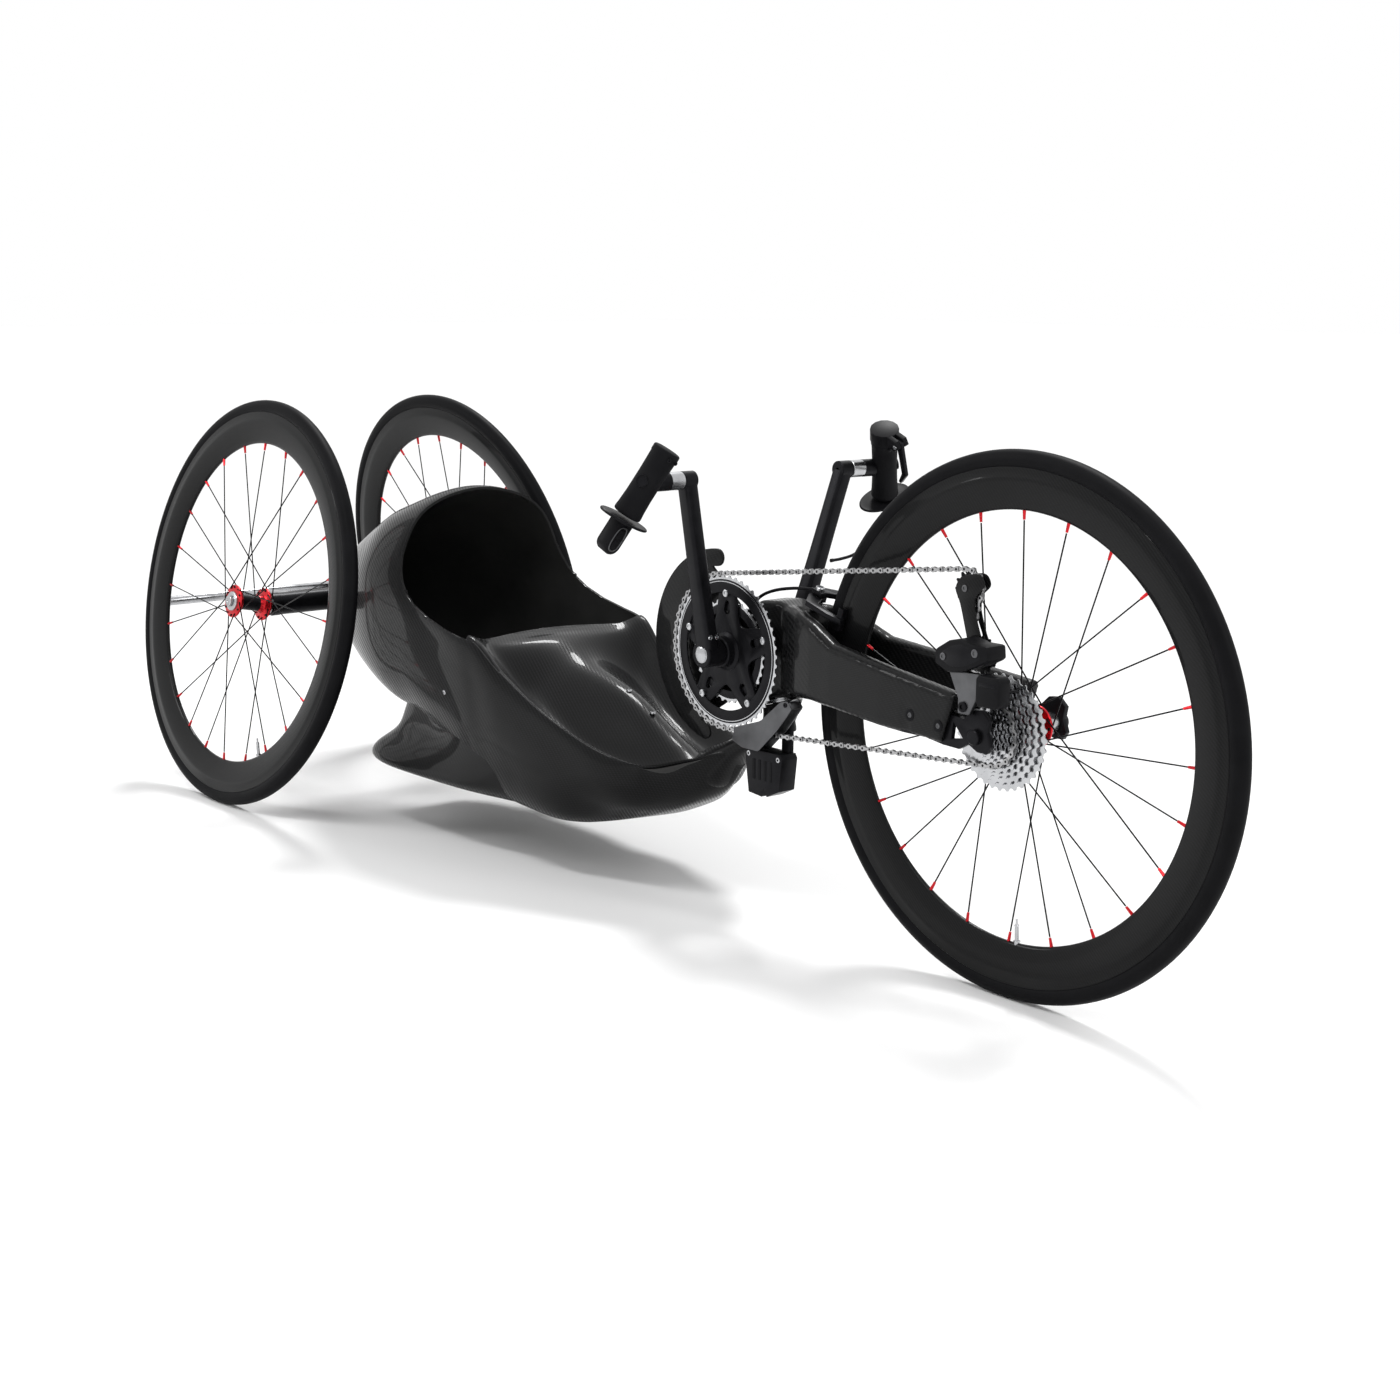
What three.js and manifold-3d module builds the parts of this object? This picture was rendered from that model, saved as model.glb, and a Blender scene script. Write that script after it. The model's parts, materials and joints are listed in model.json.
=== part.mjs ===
// Racing handcycle: carbon tub, two cambered rear wheels, driven and steered front wheel, hand cranks.
// Millimetres, +Z up, +X towards the front wheel, +Y to the left. The model is laid out from the point on the
// ground under the rear axle, and the finished group is moved so that its origin is under the middle of its box.

import * as THREE from 'three';
import { mergeGeometries, mergeVertices } from 'three/addons/utils/BufferGeometryUtils.js';
import Module from 'manifold-3d';

const wasm = await Module();
wasm.setup();

// Driving sizes of the whole machine
const wheelRadius = 336;
const wheelbase = 1493;
const rearHalfTrack = 215.8; // wheel centres from the middle plane
const camber = THREE.MathUtils.degToRad(10.4);
const headAngle = THREE.MathUtils.degToRad(15); // steering axis from the vertical, its top towards the rear
const seatGap = 0.3; // between two pieces that touch
const overrun = 5; // how far a cutter passes the face that it opens
const tubeFacets = 20;
const shaftFacets = 16;
const handleFacets = 14;
const pinFacets = 12;
const slimFacets = 8;

// Wheels
const wheelFacets = 28;
const tyreTubeRadius = 12.5;
const tyreFacets = 6;
const rimDepth = 52;
const rimHalfWidth = 10.5;
const rimInnerHalfWidth = 3.5;
const rimBedDepth = 5.8;
const rimBedHalfWidth = 5.5;
const rimLip = 7.2; // from the middle of the tyre tube in to the rim's edge
const spokesPerFlange = 12;
const spokeThickness = 2.2;
const spokeCross = THREE.MathUtils.degToRad(60); // from a spoke's place in the flange round to that in the rim

// Hubs
const hubFacets = 10;
const flangeRadius = 27;
const flangeThickness = 4;
const hubBarrelRadius = 13;
const hubEndRadius = 16;
const axlePinRadius = 6;
const rearHubOuter = 26; // from the wheel's plane to the outer face
const rearHubInner = 38;
const rearFlangeOuter = 20;
const rearFlangeInner = 34;
const frontHubHalf = 63.5;
const frontFlangeLeft = 34;
const frontFlangeRight = 20;
const cassetteBodyRadius = 14.5;

// Rear axle and safety bar
const axleTubeRadius = 19;
const axleTubeWall = 3;
const axleTubeHalf = 172;
const collarRadius = 17;
const collarLength = 5.5;
const stubNutRadius = 9;
const stubNutLength = 5;
const barRadius = 8.5;
const barHalf = 205;
const barRear = 360; // from the axle back to the bar's middle line
const barHeight = 284;
const barArmRadius = 6;
const barArmSpread = 17; // each arm from the middle plane
const barArmEnd = 302; // height of the arms' front ends on the tub

// Tub
const tubRear = -28;
const tubLength = 1026;
const tubHalfWidth = 169;
const tubTop = 536;
const tubWall = 4;
const archX = 372;
const cockpitFrontX = 549;
const cockpitTipSetBack = 26; // the front edge's sides lie this far ahead of its middle
const cockpitEdgeRear = 402;
const cockpitEdgeFront = 345;
const cockpitDeepHalf = 150;
const cockpitFloorCut = 250;
const cockpitFrontSteps = 8;
const sectionPoints = 18;
const footRear = 200;
const footLength = 420;
const footHalfWidth = 142;
const footTop = 240;
const neckTopX = 1079;
const neckTopZ = 303;
const neckRadius = 28;
const neckDrop = 110; // from the neck's top down to its root in the tub's nose
const neckSetBack = 124; // from the neck's top back to its root
const steererRadius = 14;
const steererLength = 42;
const bearingRadius = 25;
const bearingHeight = 6;

// Front unit
const crankAxisX = 1015;
const crankAxisZ = 368;
const unitHalfWidth = 28;
const unitBevel = 5;
const unitLength = 164; // side view of the body behind the wheel
const unitHeight = 145;
const unitRearX = 986;
const shellRadius = 27;
const shellHalf = 34;
const shellFacets = 18;
const cupRadius = 22;
const cupLength = 5;
const legEndBack = 41; // from the wheel's centre back to a leg's end
const legRearX = 1100;
const legBase = 317;
const legHeight = 123;
const legReach = 78; // outer face of a leg at its front end
const legEndLean = 22; // how far the top of a leg reaches past its underside
const dropoutInner = 64;
const dropoutThickness = 7;
const dropoutBack = 122; // from the axle back to the plate's end
const dropoutReach = 70; // from the end of the leg past the axle
const dropoutHeight = 52;
const dropoutLength = 145;
const dropoutBase = -19; // from the axle down to the plate's underside
const axleKnobRadius = 12;
const axleKnobLength = 13;
const axleNutLength = 6;

// Drive
const chainPitch = 12.7;
const outerTeeth = 52;
const innerTeeth = 36;
const ringThickness = 1.8;
const outerRingY = 46;
const innerRingY = 39.5;
const outerRingBand = 20; // from the tooth roots in to the ring's bore
const innerRingBand = 13;
const toothHeight = 3.2;
const toothTopGap = 1.8; // tooth tips end this far inside the pitch circle
const cassetteTeeth = [36, 32, 28, 25, 22, 19, 17, 15, 13, 12, 11];
const cassetteInnerY = 26;
const cogSpacing = 3.72;
const cogThickness = 1.6;
const cassetteBore = 15.6;
const cassetteCore = 17.2;
const engagedCog = 5;
const guideTeeth = 12;
const tensionTeeth = 11;
const chainHalfWidth = 2.45;
const chainPlate = 0.95;
const chainPlateHalfHeight = 3.5;
const chainPinRadius = 1.9;
const chainPinFacets = 3;
const spiderArms = 5;
const spiderReach = 88;
const spiderNotchRadius = 27;
const spiderBossRadius = 21;
const spiderBossOuterY = 60;
const spindleRadius = 12;
const guardCentreX = 983.5;
const guardCentreZ = 367.4;
const guardRadius = 134.8;
const guardThickness = 4;
const guardWidth = 24;
const guardStart = THREE.MathUtils.degToRad(87);
const guardEnd = THREE.MathUtils.degToRad(262);
const guardSteps = 26;

// Cranks and grips
const crankLength = 238.4;
const crankLean = THREE.MathUtils.degToRad(6.6); // arms from the vertical, forward
const armRootY = 77;
const armTipY = 139;
const armRootWidth = 31;
const armTipWidth = 22;
const armThickness = 21;
const armEyeRadius = 12;
const armBossRadius = 18;
const armBossInnerY = 60.3;
const armBossOuterY = 90;
const gripPinRadius = 7;
const gripPinLength = 38;
const gripSleeveRadius = 12;
const gripRadius = 19;
const gripMiddleY = 212;
const gripAhead = 7; // grip's middle line ahead of the crank pin
const gripUpper = 47; // along the grip from the pin up to its end
const gripLower = 51;
const gripTiltX = THREE.MathUtils.degToRad(23); // lower end outward
const gripTiltY = THREE.MathUtils.degToRad(23); // lower end rearward
const guardDiscLong = 41;
const guardDiscShort = 25;
const guardDiscThickness = 4;
const podWidth = 26;
const podDepth = 21;
const podLength = 46;
const buttonWidth = 11;
const buttonLength = 12;
const buttonProud = 1.5;
const buttonTravel = 1.2;
const buttonSpacing = 15;
const bracketRadius = 20;
const bracketLength = 18;
const leverLength = 66;
const leverWidth = 11;
const leverThickness = 6;
const leverStandOff = 34; // from the grip's middle line forward to the lever

// Brake
const caliperRadius = 368; // caliper bolt from the wheel's centre
const caliperAngle = THREE.MathUtils.degToRad(18.2);
const caliperThickness = 7;
const caliperHalfWidth = 31;
const padRadius = 305;
const padGap = 1; // from the pad to the rim
const padLength = 30;
const padHeight = 9;
const caliperLift = 14; // from the foot of the bolt up to the lower arm
const caliperBoltRadius = 4;
const cableRadius = 2.2;
const cableFacets = 6;
const upperCableSteps = 12;
const lowerCableSteps = 9;

// Derailleurs
const guideBack = 17; // guide pulley from the wheel's centre
const guideRise = 93.1;
const cageLength = 81;
const cageAngle = THREE.MathUtils.degToRad(104);
const cageThickness = 1.8;
const cageHalfGap = 4.4; // from the pulleys' middle plane to a cage plate
const pulleyHalfWidth = 1.6;
const pulleyBore = 3;
const hangerBack = 14; // hanger bolt from the wheel's centre
const hangerRise = 35.1;
const linkThickness = 8;
const linkRadius = 9;
const knuckleRadius = 21;
const knuckleLength = 34;
const batteryAhead = 9; // battery's rear lower corner from the wheel's centre
const batteryRise = 40.1;
const batteryInnerY = 64;
const batteryLength = 37;
const batteryHeight = 38;
const batteryThickness = 21;
const frontMotorX = 1062;
const frontMotorLength = 72;
const frontMotorHeight = 62;
const frontMotorBase = 183;
const frontMotorThickness = 28;
const frontMotorOuterY = 50;
const frontBracketThickness = 7; // clear of the cage's inner plate when the cage shifts
const frontCageLength = 116;
const frontCageHeight = 76;
const frontCageX = 1042;
const frontCageThickness = 1.5;
const frontCageHalfGap = 9; // from the chain's middle plane to a cage plate
const frontCageBridge = 9; // side of the bars that join the two plates

// Finishes
const finishes = {
  carbon: { color: 0x16171a, roughness: 0.25, metalness: 0.1 },
  tyre: { color: 0x1b1b1c, roughness: 0.85, metalness: 0 },
  black: { color: 0x141415, roughness: 0.45, metalness: 0.3 },
  red: { color: 0xb3161c, roughness: 0.35, metalness: 0.7 },
  silver: { color: 0xc3c5c8, roughness: 0.3, metalness: 0.95 },
  rubber: { color: 0x19191a, roughness: 0.75, metalness: 0 },
};

// General helpers

function finish(name) {
  return new THREE.MeshStandardMaterial(finishes[name]);
}

function signedVolume(geometry) {
  const position = geometry.getAttribute('position');
  const index = geometry.index.array;
  const [a, b, c] = [new THREE.Vector3(), new THREE.Vector3(), new THREE.Vector3()];
  let volume = 0;
  for (let i = 0; i < index.length; i += 3) {
    a.fromBufferAttribute(position, index[i]);
    b.fromBufferAttribute(position, index[i + 1]);
    c.fromBufferAttribute(position, index[i + 2]);
    volume += a.dot(b.cross(c));
  }
  return volume;
}

// Welds a closed surface and turns its faces outward.
function closed(geometry) {
  const bare = geometry.clone();
  for (const name of Object.keys(bare.attributes)) {
    if (name !== 'position') bare.deleteAttribute(name);
  }
  const welded = mergeVertices(bare, seatGap / 1000);
  if (signedVolume(welded) < 0) welded.index.array.reverse();
  return welded;
}

function solidOf(geometry) {
  const welded = closed(geometry);
  const vertProperties = Float32Array.from(welded.getAttribute('position').array);
  const triVerts = Uint32Array.from(welded.index.array);
  return new wasm.Manifold(new wasm.Mesh({ numProp: 3, vertProperties, triVerts }));
}

function geometryOf(solid) {
  const mesh = solid.getMesh();
  const geometry = new THREE.BufferGeometry();
  geometry.setAttribute('position', new THREE.BufferAttribute(Float32Array.from(mesh.vertProperties), 3));
  geometry.setIndex(new THREE.BufferAttribute(Uint32Array.from(mesh.triVerts), 1));
  return geometry;
}

function joined(...geometries) {
  return geometryOf(geometries.map(solidOf).reduce((sum, solid) => sum.add(solid)));
}

function cut(geometry, ...cutters) {
  return geometryOf(cutters.map(solidOf).reduce((rest, cutter) => rest.subtract(cutter), solidOf(geometry)));
}

function mirrored(geometry) {
  return closed(closed(geometry).scale(1, -1, 1));
}

// A profile of [radius, along] points revolved about Y, turned by half a facet so that a chord is lowest.
function revolved(points, facets, turn = Math.PI / facets) {
  const profile = points.map(([radius, along]) => new THREE.Vector2(radius, along));
  return closed(new THREE.LatheGeometry(profile, facets, turn, 2 * Math.PI));
}

// Radius of a faceted bore whose flats stay clear of a round piece that turns in it.
function boreFor(radius, facets = hubFacets) {
  return (radius + seatGap) / Math.cos(Math.PI / facets);
}

// A plain round bar along Y between two places.
function roundBar(radius, from, to, facets = hubFacets) {
  return revolved([[0, from], [radius, from], [radius, to], [0, to]], facets);
}

// A ring about Y between two places.
function ring(outer, inner, from, to, facets = hubFacets) {
  return revolved([[inner, from], [outer, from], [outer, to], [inner, to], [inner, from]], facets);
}

// A side-view outline of [x, z] points, given thickness along Y.
function plate(points, from, to, holes = []) {
  const shape = new THREE.Shape(points.map(([x, z]) => new THREE.Vector2(x, z)));
  for (const hole of holes) shape.holes.push(new THREE.Path(hole.map(([x, z]) => new THREE.Vector2(x, z))));
  const geometry = new THREE.ExtrudeGeometry(shape, { depth: to - from, bevelEnabled: false, curveSegments: 6 });
  return closed(geometry.rotateX(Math.PI / 2).translate(0, to, 0));
}

function circlePoints(x, z, radius, count, start = 0) {
  return Array.from({ length: count }, (_, i) => {
    const angle = start + (2 * Math.PI * i) / count;
    return [x + radius * Math.cos(angle), z + radius * Math.sin(angle)];
  });
}

// Skins a list of rings, each a list of [x, y, z] points, and closes both ends with a fan.
function skinned(rings) {
  const count = rings[0].length;
  const ends = [rings[0], rings[rings.length - 1]].map((points) =>
    [0, 1, 2].map((axis) => points.reduce((sum, point) => sum + point[axis], 0) / count));
  const position = new Float32Array([...rings, ends].flat(2));
  const index = [];
  for (let r = 0; r < rings.length - 1; r += 1) {
    for (let i = 0; i < count; i += 1) {
      const j = (i + 1) % count;
      const [a, b] = [r * count + i, r * count + j];
      const [c, d] = [a + count, b + count];
      index.push(a, b, d, a, d, c);
    }
  }
  const first = rings.length * count;
  const last = (rings.length - 1) * count;
  for (let i = 0; i < count; i += 1) {
    const j = (i + 1) % count;
    index.push(first, j, i);
    index.push(first + 1, last + i, last + j);
  }
  const geometry = new THREE.BufferGeometry();
  geometry.setAttribute('position', new THREE.BufferAttribute(position, 3));
  geometry.setIndex(index);
  return closed(geometry);
}

// A rounded rectangle's corner points, with one chamfer point pair at each corner.
function roundedRectangle(halfWide, halfHigh, corner) {
  return [
    [halfWide, halfHigh - corner], [halfWide - corner, halfHigh], [corner - halfWide, halfHigh],
    [-halfWide, halfHigh - corner], [-halfWide, corner - halfHigh], [corner - halfWide, -halfHigh],
    [halfWide - corner, -halfHigh], [halfWide, corner - halfHigh],
  ];
}

const root = new THREE.Group();

function place(parent, name, geometry, finishName) {
  const mesh = new THREE.Mesh(closed(geometry), finish(finishName));
  mesh.name = name;
  parent.add(mesh);
  return mesh;
}

// Wheels: each is built about its own axle line along Y, with +Y outward

const tyreCentre = wheelRadius - tyreTubeRadius;
const rimOuter = tyreCentre - rimLip;
const rimInner = rimOuter - rimDepth;

// Height of the wheel's centre above the ground when the flat chord of its tyre stands on it.
function centreHeight(lean) {
  const reach = (tyreCentre + tyreTubeRadius * Math.cos(lean)) * Math.cos(Math.PI / wheelFacets);
  return reach * Math.cos(lean) + tyreTubeRadius * Math.sin(lean) ** 2;
}

function tyreGeometry(lean) {
  const points = Array.from({ length: tyreFacets + 1 }, (_, i) => {
    const angle = (2 * Math.PI * i) / tyreFacets - lean;
    return [tyreCentre + tyreTubeRadius * Math.cos(angle), tyreTubeRadius * Math.sin(angle)];
  });
  points[tyreFacets] = points[0];
  return revolved(points, wheelFacets);
}

function rimGeometry() {
  const bed = rimOuter - rimBedDepth;
  const half = [
    [rimOuter, rimHalfWidth], [bed, rimBedHalfWidth], [bed, -rimBedHalfWidth], [rimOuter, -rimHalfWidth],
    [rimOuter - rimDepth / 3, -rimHalfWidth], [rimInner, -rimInnerHalfWidth], [rimInner, rimInnerHalfWidth],
    [rimOuter - rimDepth / 3, rimHalfWidth],
  ];
  return revolved([...half, half[0]], wheelFacets);
}

// One flange's spokes: half of them lean forward and half lean back, and where two cross they lie on each other.
// The turn is a share of the step from one spoke to the next.
function spokeGeometry(flangeY, turnShare) {
  const rimChord = rimInner * Math.cos(Math.PI / wheelFacets) - seatGap;
  const spokes = [];
  for (let i = 0; i < spokesPerFlange; i += 1) {
    const atHub = (2 * Math.PI * (i + turnShare)) / spokesPerFlange;
    const atRim = atHub + (i % 2 ? -spokeCross : spokeCross);
    const start = new THREE.Vector3(Math.cos(atHub), 0, Math.sin(atHub)).multiplyScalar(flangeRadius + seatGap);
    const end = new THREE.Vector3(Math.cos(atRim), 0, Math.sin(atRim)).multiplyScalar(rimChord);
    const along = end.clone().sub(start);
    const length = along.length() - spokeThickness - seatGap;
    const bar = new THREE.BoxGeometry(length, spokeThickness, spokeThickness)
      .translate(spokeThickness + length / 2, 0, 0);
    spokes.push(bar.rotateY(-Math.atan2(along.z, along.x)).translate(start.x, 0, start.z));
  }
  const lacing = joined(...spokes);
  const position = lacing.getAttribute('position');
  for (let i = 0; i < position.count; i += 1) {
    const outShare = (rimChord - Math.hypot(position.getX(i), position.getZ(i))) / (rimChord - flangeRadius);
    position.setY(i, position.getY(i) + flangeY * outShare);
  }
  return lacing;
}

function hubGeometry(from, to, flanges, endRadius) {
  const bore = boreFor(axlePinRadius);
  const half = flangeThickness / 2;
  const [low, high] = flanges;
  return revolved([
    [bore, from], [endRadius, from], [endRadius, low - half], [flangeRadius, low - half],
    [flangeRadius, low + half], [hubBarrelRadius, low + half], [hubBarrelRadius, high - half],
    [flangeRadius, high - half], [flangeRadius, high + half], [endRadius, high + half], [endRadius, to],
    [bore, to], [bore, from],
  ], hubFacets);
}

const rearCentreZ = centreHeight(camber);
const frontCentreZ = centreHeight(0);
const [guideX, guideZ] = [wheelbase - guideBack, frontCentreZ + guideRise];
const [hangerX, hangerZ] = [wheelbase - hangerBack, frontCentreZ + hangerRise];
const [batteryRear, batteryBase] = [wheelbase + batteryAhead, frontCentreZ + batteryRise];
const legLength = wheelbase - legEndBack - legRearX;
const tubeEndAlong = (rearHalfTrack - axleTubeHalf) / Math.cos(camber); // along the axle from wheel to tube
const axleTubeZ = rearCentreZ - Math.tan(camber) * (rearHalfTrack - axleTubeHalf);

function stubAxleGeometry() {
  const collarEnd = -tubeEndAlong + seatGap;
  const hubStart = -rearHubInner - seatGap;
  const nutStart = rearHubOuter + seatGap;
  return revolved([
    [0, collarEnd], [collarRadius, collarEnd], [collarRadius, collarEnd + collarLength / 2],
    [hubEndRadius * 4 / 5, hubStart], [axlePinRadius, hubStart], [axlePinRadius, nutStart],
    [stubNutRadius, nutStart], [stubNutRadius, nutStart + stubNutLength], [0, nutStart + stubNutLength],
  ], hubFacets);
}

function rearWheel(name, side) {
  const wheel = new THREE.Group();
  wheel.position.set(0, side * rearHalfTrack, rearCentreZ);
  wheel.rotation.set(side * camber, 0, side > 0 ? 0 : Math.PI);
  place(wheel, `${name}_tyre`, tyreGeometry(camber), 'tyre');
  place(wheel, `${name}_rim`, rimGeometry(), 'carbon');
  place(wheel, `${name}_hub`, hubGeometry(-rearHubInner, rearHubOuter,
    [-rearFlangeInner, rearFlangeOuter], hubEndRadius), 'red');
  place(wheel, `${name}_spokes_outer`, spokeGeometry(rearFlangeOuter, 0), 'black');
  place(wheel, `${name}_spokes_inner`, spokeGeometry(-rearFlangeInner, 1 / 2), 'black');
  place(wheel, `${name}_stub_axle`, stubAxleGeometry(), 'silver');
  root.add(wheel);
}

rearWheel('rear_left', 1);
rearWheel('rear_right', -1);

function frontWheel() {
  const wheel = new THREE.Group();
  wheel.position.set(wheelbase, 0, frontCentreZ);
  place(wheel, 'front_tyre', tyreGeometry(0), 'tyre');
  place(wheel, 'front_rim', rimGeometry(), 'carbon');
  place(wheel, 'front_hub', hubGeometry(-frontHubHalf, frontHubHalf,
    [-frontFlangeRight, frontFlangeLeft], cassetteBodyRadius), 'red');
  place(wheel, 'front_spokes_left', spokeGeometry(frontFlangeLeft, 0), 'black');
  place(wheel, 'front_spokes_right', spokeGeometry(-frontFlangeRight, 1 / 2), 'black');
  root.add(wheel);
}

frontWheel();

// Rear axle tube, its ends cut square to the cambered stubs, and the safety bar behind it

function axleTubeGeometry() {
  const tube = ring(axleTubeRadius, axleTubeRadius - axleTubeWall, -axleTubeHalf, axleTubeHalf, tubeFacets);
  const position = tube.getAttribute('position');
  for (let i = 0; i < position.count; i += 1) {
    const end = Math.sign(position.getY(i));
    position.setY(i, position.getY(i) - end * Math.tan(camber) * position.getZ(i));
  }
  return tube.translate(0, 0, axleTubeZ);
}

place(root, 'rear_axle_tube', axleTubeGeometry(), 'black');

function safetyBarGeometry() {
  const bar = roundBar(barRadius, -barHalf, barHalf, pinFacets).translate(-barRear, 0, barHeight);
  const arms = [1, -1].map((side) => {
    const reach = barRear + tubRear - seatGap;
    const arm = roundBar(barArmRadius, 0, reach, slimFacets).rotateZ(-Math.PI / 2);
    const position = arm.getAttribute('position');
    for (let i = 0; i < position.count; i += 1) {
      position.setZ(i, position.getZ(i) + (position.getX(i) / reach) * (barArmEnd - barHeight));
    }
    return arm.translate(-barRear, side * barArmSpread, barHeight);
  });
  return joined(bar, ...arms);
}

place(root, 'rear_safety_bar', safetyBarGeometry(), 'silver');

// Tub: two lofts joined outside, the same two set in by the wall, and the cockpit cut out

// Each station: place along the tub, then half sections from the keel's middle up to the deck's middle.
const tubShares = [
  [0, [0, 0.532], [0.13, 0.537], [0.213, 0.578], [0.219, 0.625], [0.189, 0.66], [0.107, 0.69], [0, 0.698]],
  [0.047, [0, 0.489], [0.189, 0.496], [0.32, 0.556], [0.331, 0.627], [0.272, 0.69], [0.148, 0.743], [0, 0.761]],
  [0.203, [0, 0.401], [0.45, 0.41], [0.663, 0.489], [0.722, 0.638], [0.651, 0.761], [0.391, 0.866], [0, 0.903]],
  [0.29, [0, 0.354], [0.544, 0.366], [0.799, 0.463], [0.882, 0.644], [0.834, 0.784], [0.574, 0.91], [0, 0.957]],
  [0.39, [0, 0.321], [0.58, 0.334], [0.846, 0.444], [0.947, 0.634], [0.923, 0.767], [0.657, 0.937], [0, 1]],
  [0.476, [0, 0.243], [0.592, 0.254], [0.84, 0.382], [0.97, 0.578], [0.988, 0.696], [0.888, 0.821], [0, 0.877]],
  [0.562, [0, 0.187], [0.663, 0.198], [0.864, 0.336], [0.982, 0.541], [1.006, 0.646], [0.74, 0.612], [0, 0.599]],
  [0.651, [0, 0.164], [0.686, 0.175], [0.864, 0.308], [0.935, 0.448], [0.899, 0.554], [0.627, 0.487], [0, 0.56]],
  [0.758, [0, 0.162], [0.663, 0.174], [0.805, 0.274], [0.834, 0.384], [0.817, 0.448], [0.544, 0.373], [0, 0.5]],
  [0.865, [0, 0.2], [0.31, 0.213], [0.544, 0.243], [0.692, 0.321], [0.675, 0.379], [0.414, 0.328], [0, 0.397]],
  [0.919, [0, 0.244], [0.201, 0.25], [0.355, 0.284], [0.462, 0.328], [0.574, 0.371], [0.331, 0.328], [0, 0.358]],
  [0.958, [0, 0.284], [0.118, 0.297], [0.225, 0.332], [0.32, 0.368], [0.391, 0.392], [0.213, 0.373], [0, 0.384]],
  [0.984, [0, 0.326], [0.047, 0.336], [0.112, 0.368], [0.183, 0.392], [0.213, 0.409], [0.118, 0.414], [0, 0.416]],
  [1, [0, 0.368], [0.047, 0.379], [0.083, 0.392], [0.118, 0.403], [0.13, 0.414], [0.071, 0.42], [0, 0.422]],
];

const footShares = [
  [0, [0, 0.383], [0.423, 0.388], [0.648, 0.404], [0.676, 0.429], [0.62, 0.458], [0.352, 0.475], [0, 0.479]],
  [0.083, [0, 0.367], [0.599, 0.371], [0.831, 0.404], [0.859, 0.45], [0.761, 0.517], [0.423, 0.563], [0, 0.571]],
  [0.167, [0, 0.358], [0.669, 0.363], [0.915, 0.404], [0.93, 0.458], [0.775, 0.575], [0.493, 0.688], [0, 0.708]],
  [0.262, [0, 0.354], [0.704, 0.358], [0.958, 0.408], [0.958, 0.475], [0.789, 0.625], [0.669, 0.854], [0, 0.938]],
  [0.476, [0, 0.354], [0.746, 0.358], [0.986, 0.417], [0.986, 0.5], [0.859, 0.688], [0.81, 0.917], [0, 1]],
  [0.762, [0, 0.358], [0.775, 0.367], [0.986, 0.433], [1, 0.542], [0.986, 0.75], [0.972, 0.917], [0, 1]],
  [1, [0, 0.363], [0.754, 0.383], [0.887, 0.458], [0.972, 0.625], [0.972, 0.792], [0.845, 0.896], [0, 0.958]],
];

// A closed, smooth section through the half section's points and their mirror image, moved in by the wall.
function sectionRing(x, half, inset) {
  const right = half.map(([y, z]) => new THREE.Vector3(0, -y, z));
  const left = half.slice(1, -1).reverse().map(([y, z]) => new THREE.Vector3(0, y, z));
  const curve = new THREE.CatmullRomCurve3([...right, ...left], true, 'centripetal');
  return Array.from({ length: sectionPoints }, (_, i) => {
    const at = i / sectionPoints;
    const point = curve.getPoint(at);
    const along = curve.getTangent(at);
    return [x, point.y + along.z * inset, point.z - along.y * inset];
  });
}

function loft(shares, rear, length, halfWidth, height, inset) {
  return skinned(shares.map(([xShare, ...half], i) => {
    const endInset = (i === 0 ? inset : 0) - (i === shares.length - 1 ? inset : 0);
    const sized = half.map(([y, z]) => [y * halfWidth, z * height]);
    return sectionRing(rear + xShare * length + endInset, sized, inset);
  }));
}

function tubBody(inset) {
  return joined(loft(tubShares, tubRear, tubLength, tubHalfWidth, tubTop, inset),
    loft(footShares, footRear, footLength, footHalfWidth, footTop, inset));
}

// The cockpit: a side-view wedge over the edge line, and a deeper well between the sides.
function cockpitCutters() {
  const tipX = cockpitFrontX + cockpitTipSetBack;
  const wedge = plate([
    [archX, cockpitEdgeRear], [tipX, cockpitEdgeFront], [tipX, tubTop + overrun], [archX, tubTop + overrun],
  ], -tubHalfWidth - overrun, tubHalfWidth + overrun);
  const front = Array.from({ length: cockpitFrontSteps + 1 }, (_, i) => {
    const y = cockpitDeepHalf * (1 - (2 * i) / cockpitFrontSteps);
    return new THREE.Vector2(cockpitFrontX + cockpitTipSetBack * (y / tubHalfWidth) ** 2, y);
  });
  const rear = [-cockpitDeepHalf, cockpitDeepHalf].map((y) => new THREE.Vector2(archX, y));
  const well = new THREE.ExtrudeGeometry(new THREE.Shape([...rear, ...front]),
    { depth: tubTop + overrun - cockpitFloorCut, bevelEnabled: false });
  return [wedge, well.translate(0, 0, cockpitFloorCut)];
}

// Each ring of the neck: its centre back from and below the top, its lean, its half length and half width. The
// neck bends, so that it stays under the chain ring and the guard when the front unit turns.
const neckShares = [
  [1, 1, -0.85, 1.1, 1.3], [0.73, 0.745, -0.588, 0.71, 0.95], [0.403, 0.534, -0.34, 0.72, 0.72],
  [0.117, 0.336, 0.06, 0.93, 0.7], [0.032, 0.191, 0.2, 0.965, 0.75], [0, 0.04, 0.262, 1, 0.9],
  [0, 0, 0.262, 1, 1],
];

// Turns a piece built along +Z so that it stands on the steering axis at the neck's top.
function onSteeringAxis(geometry) {
  return geometry.rotateY(-headAngle).translate(neckTopX, 0, neckTopZ);
}

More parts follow.
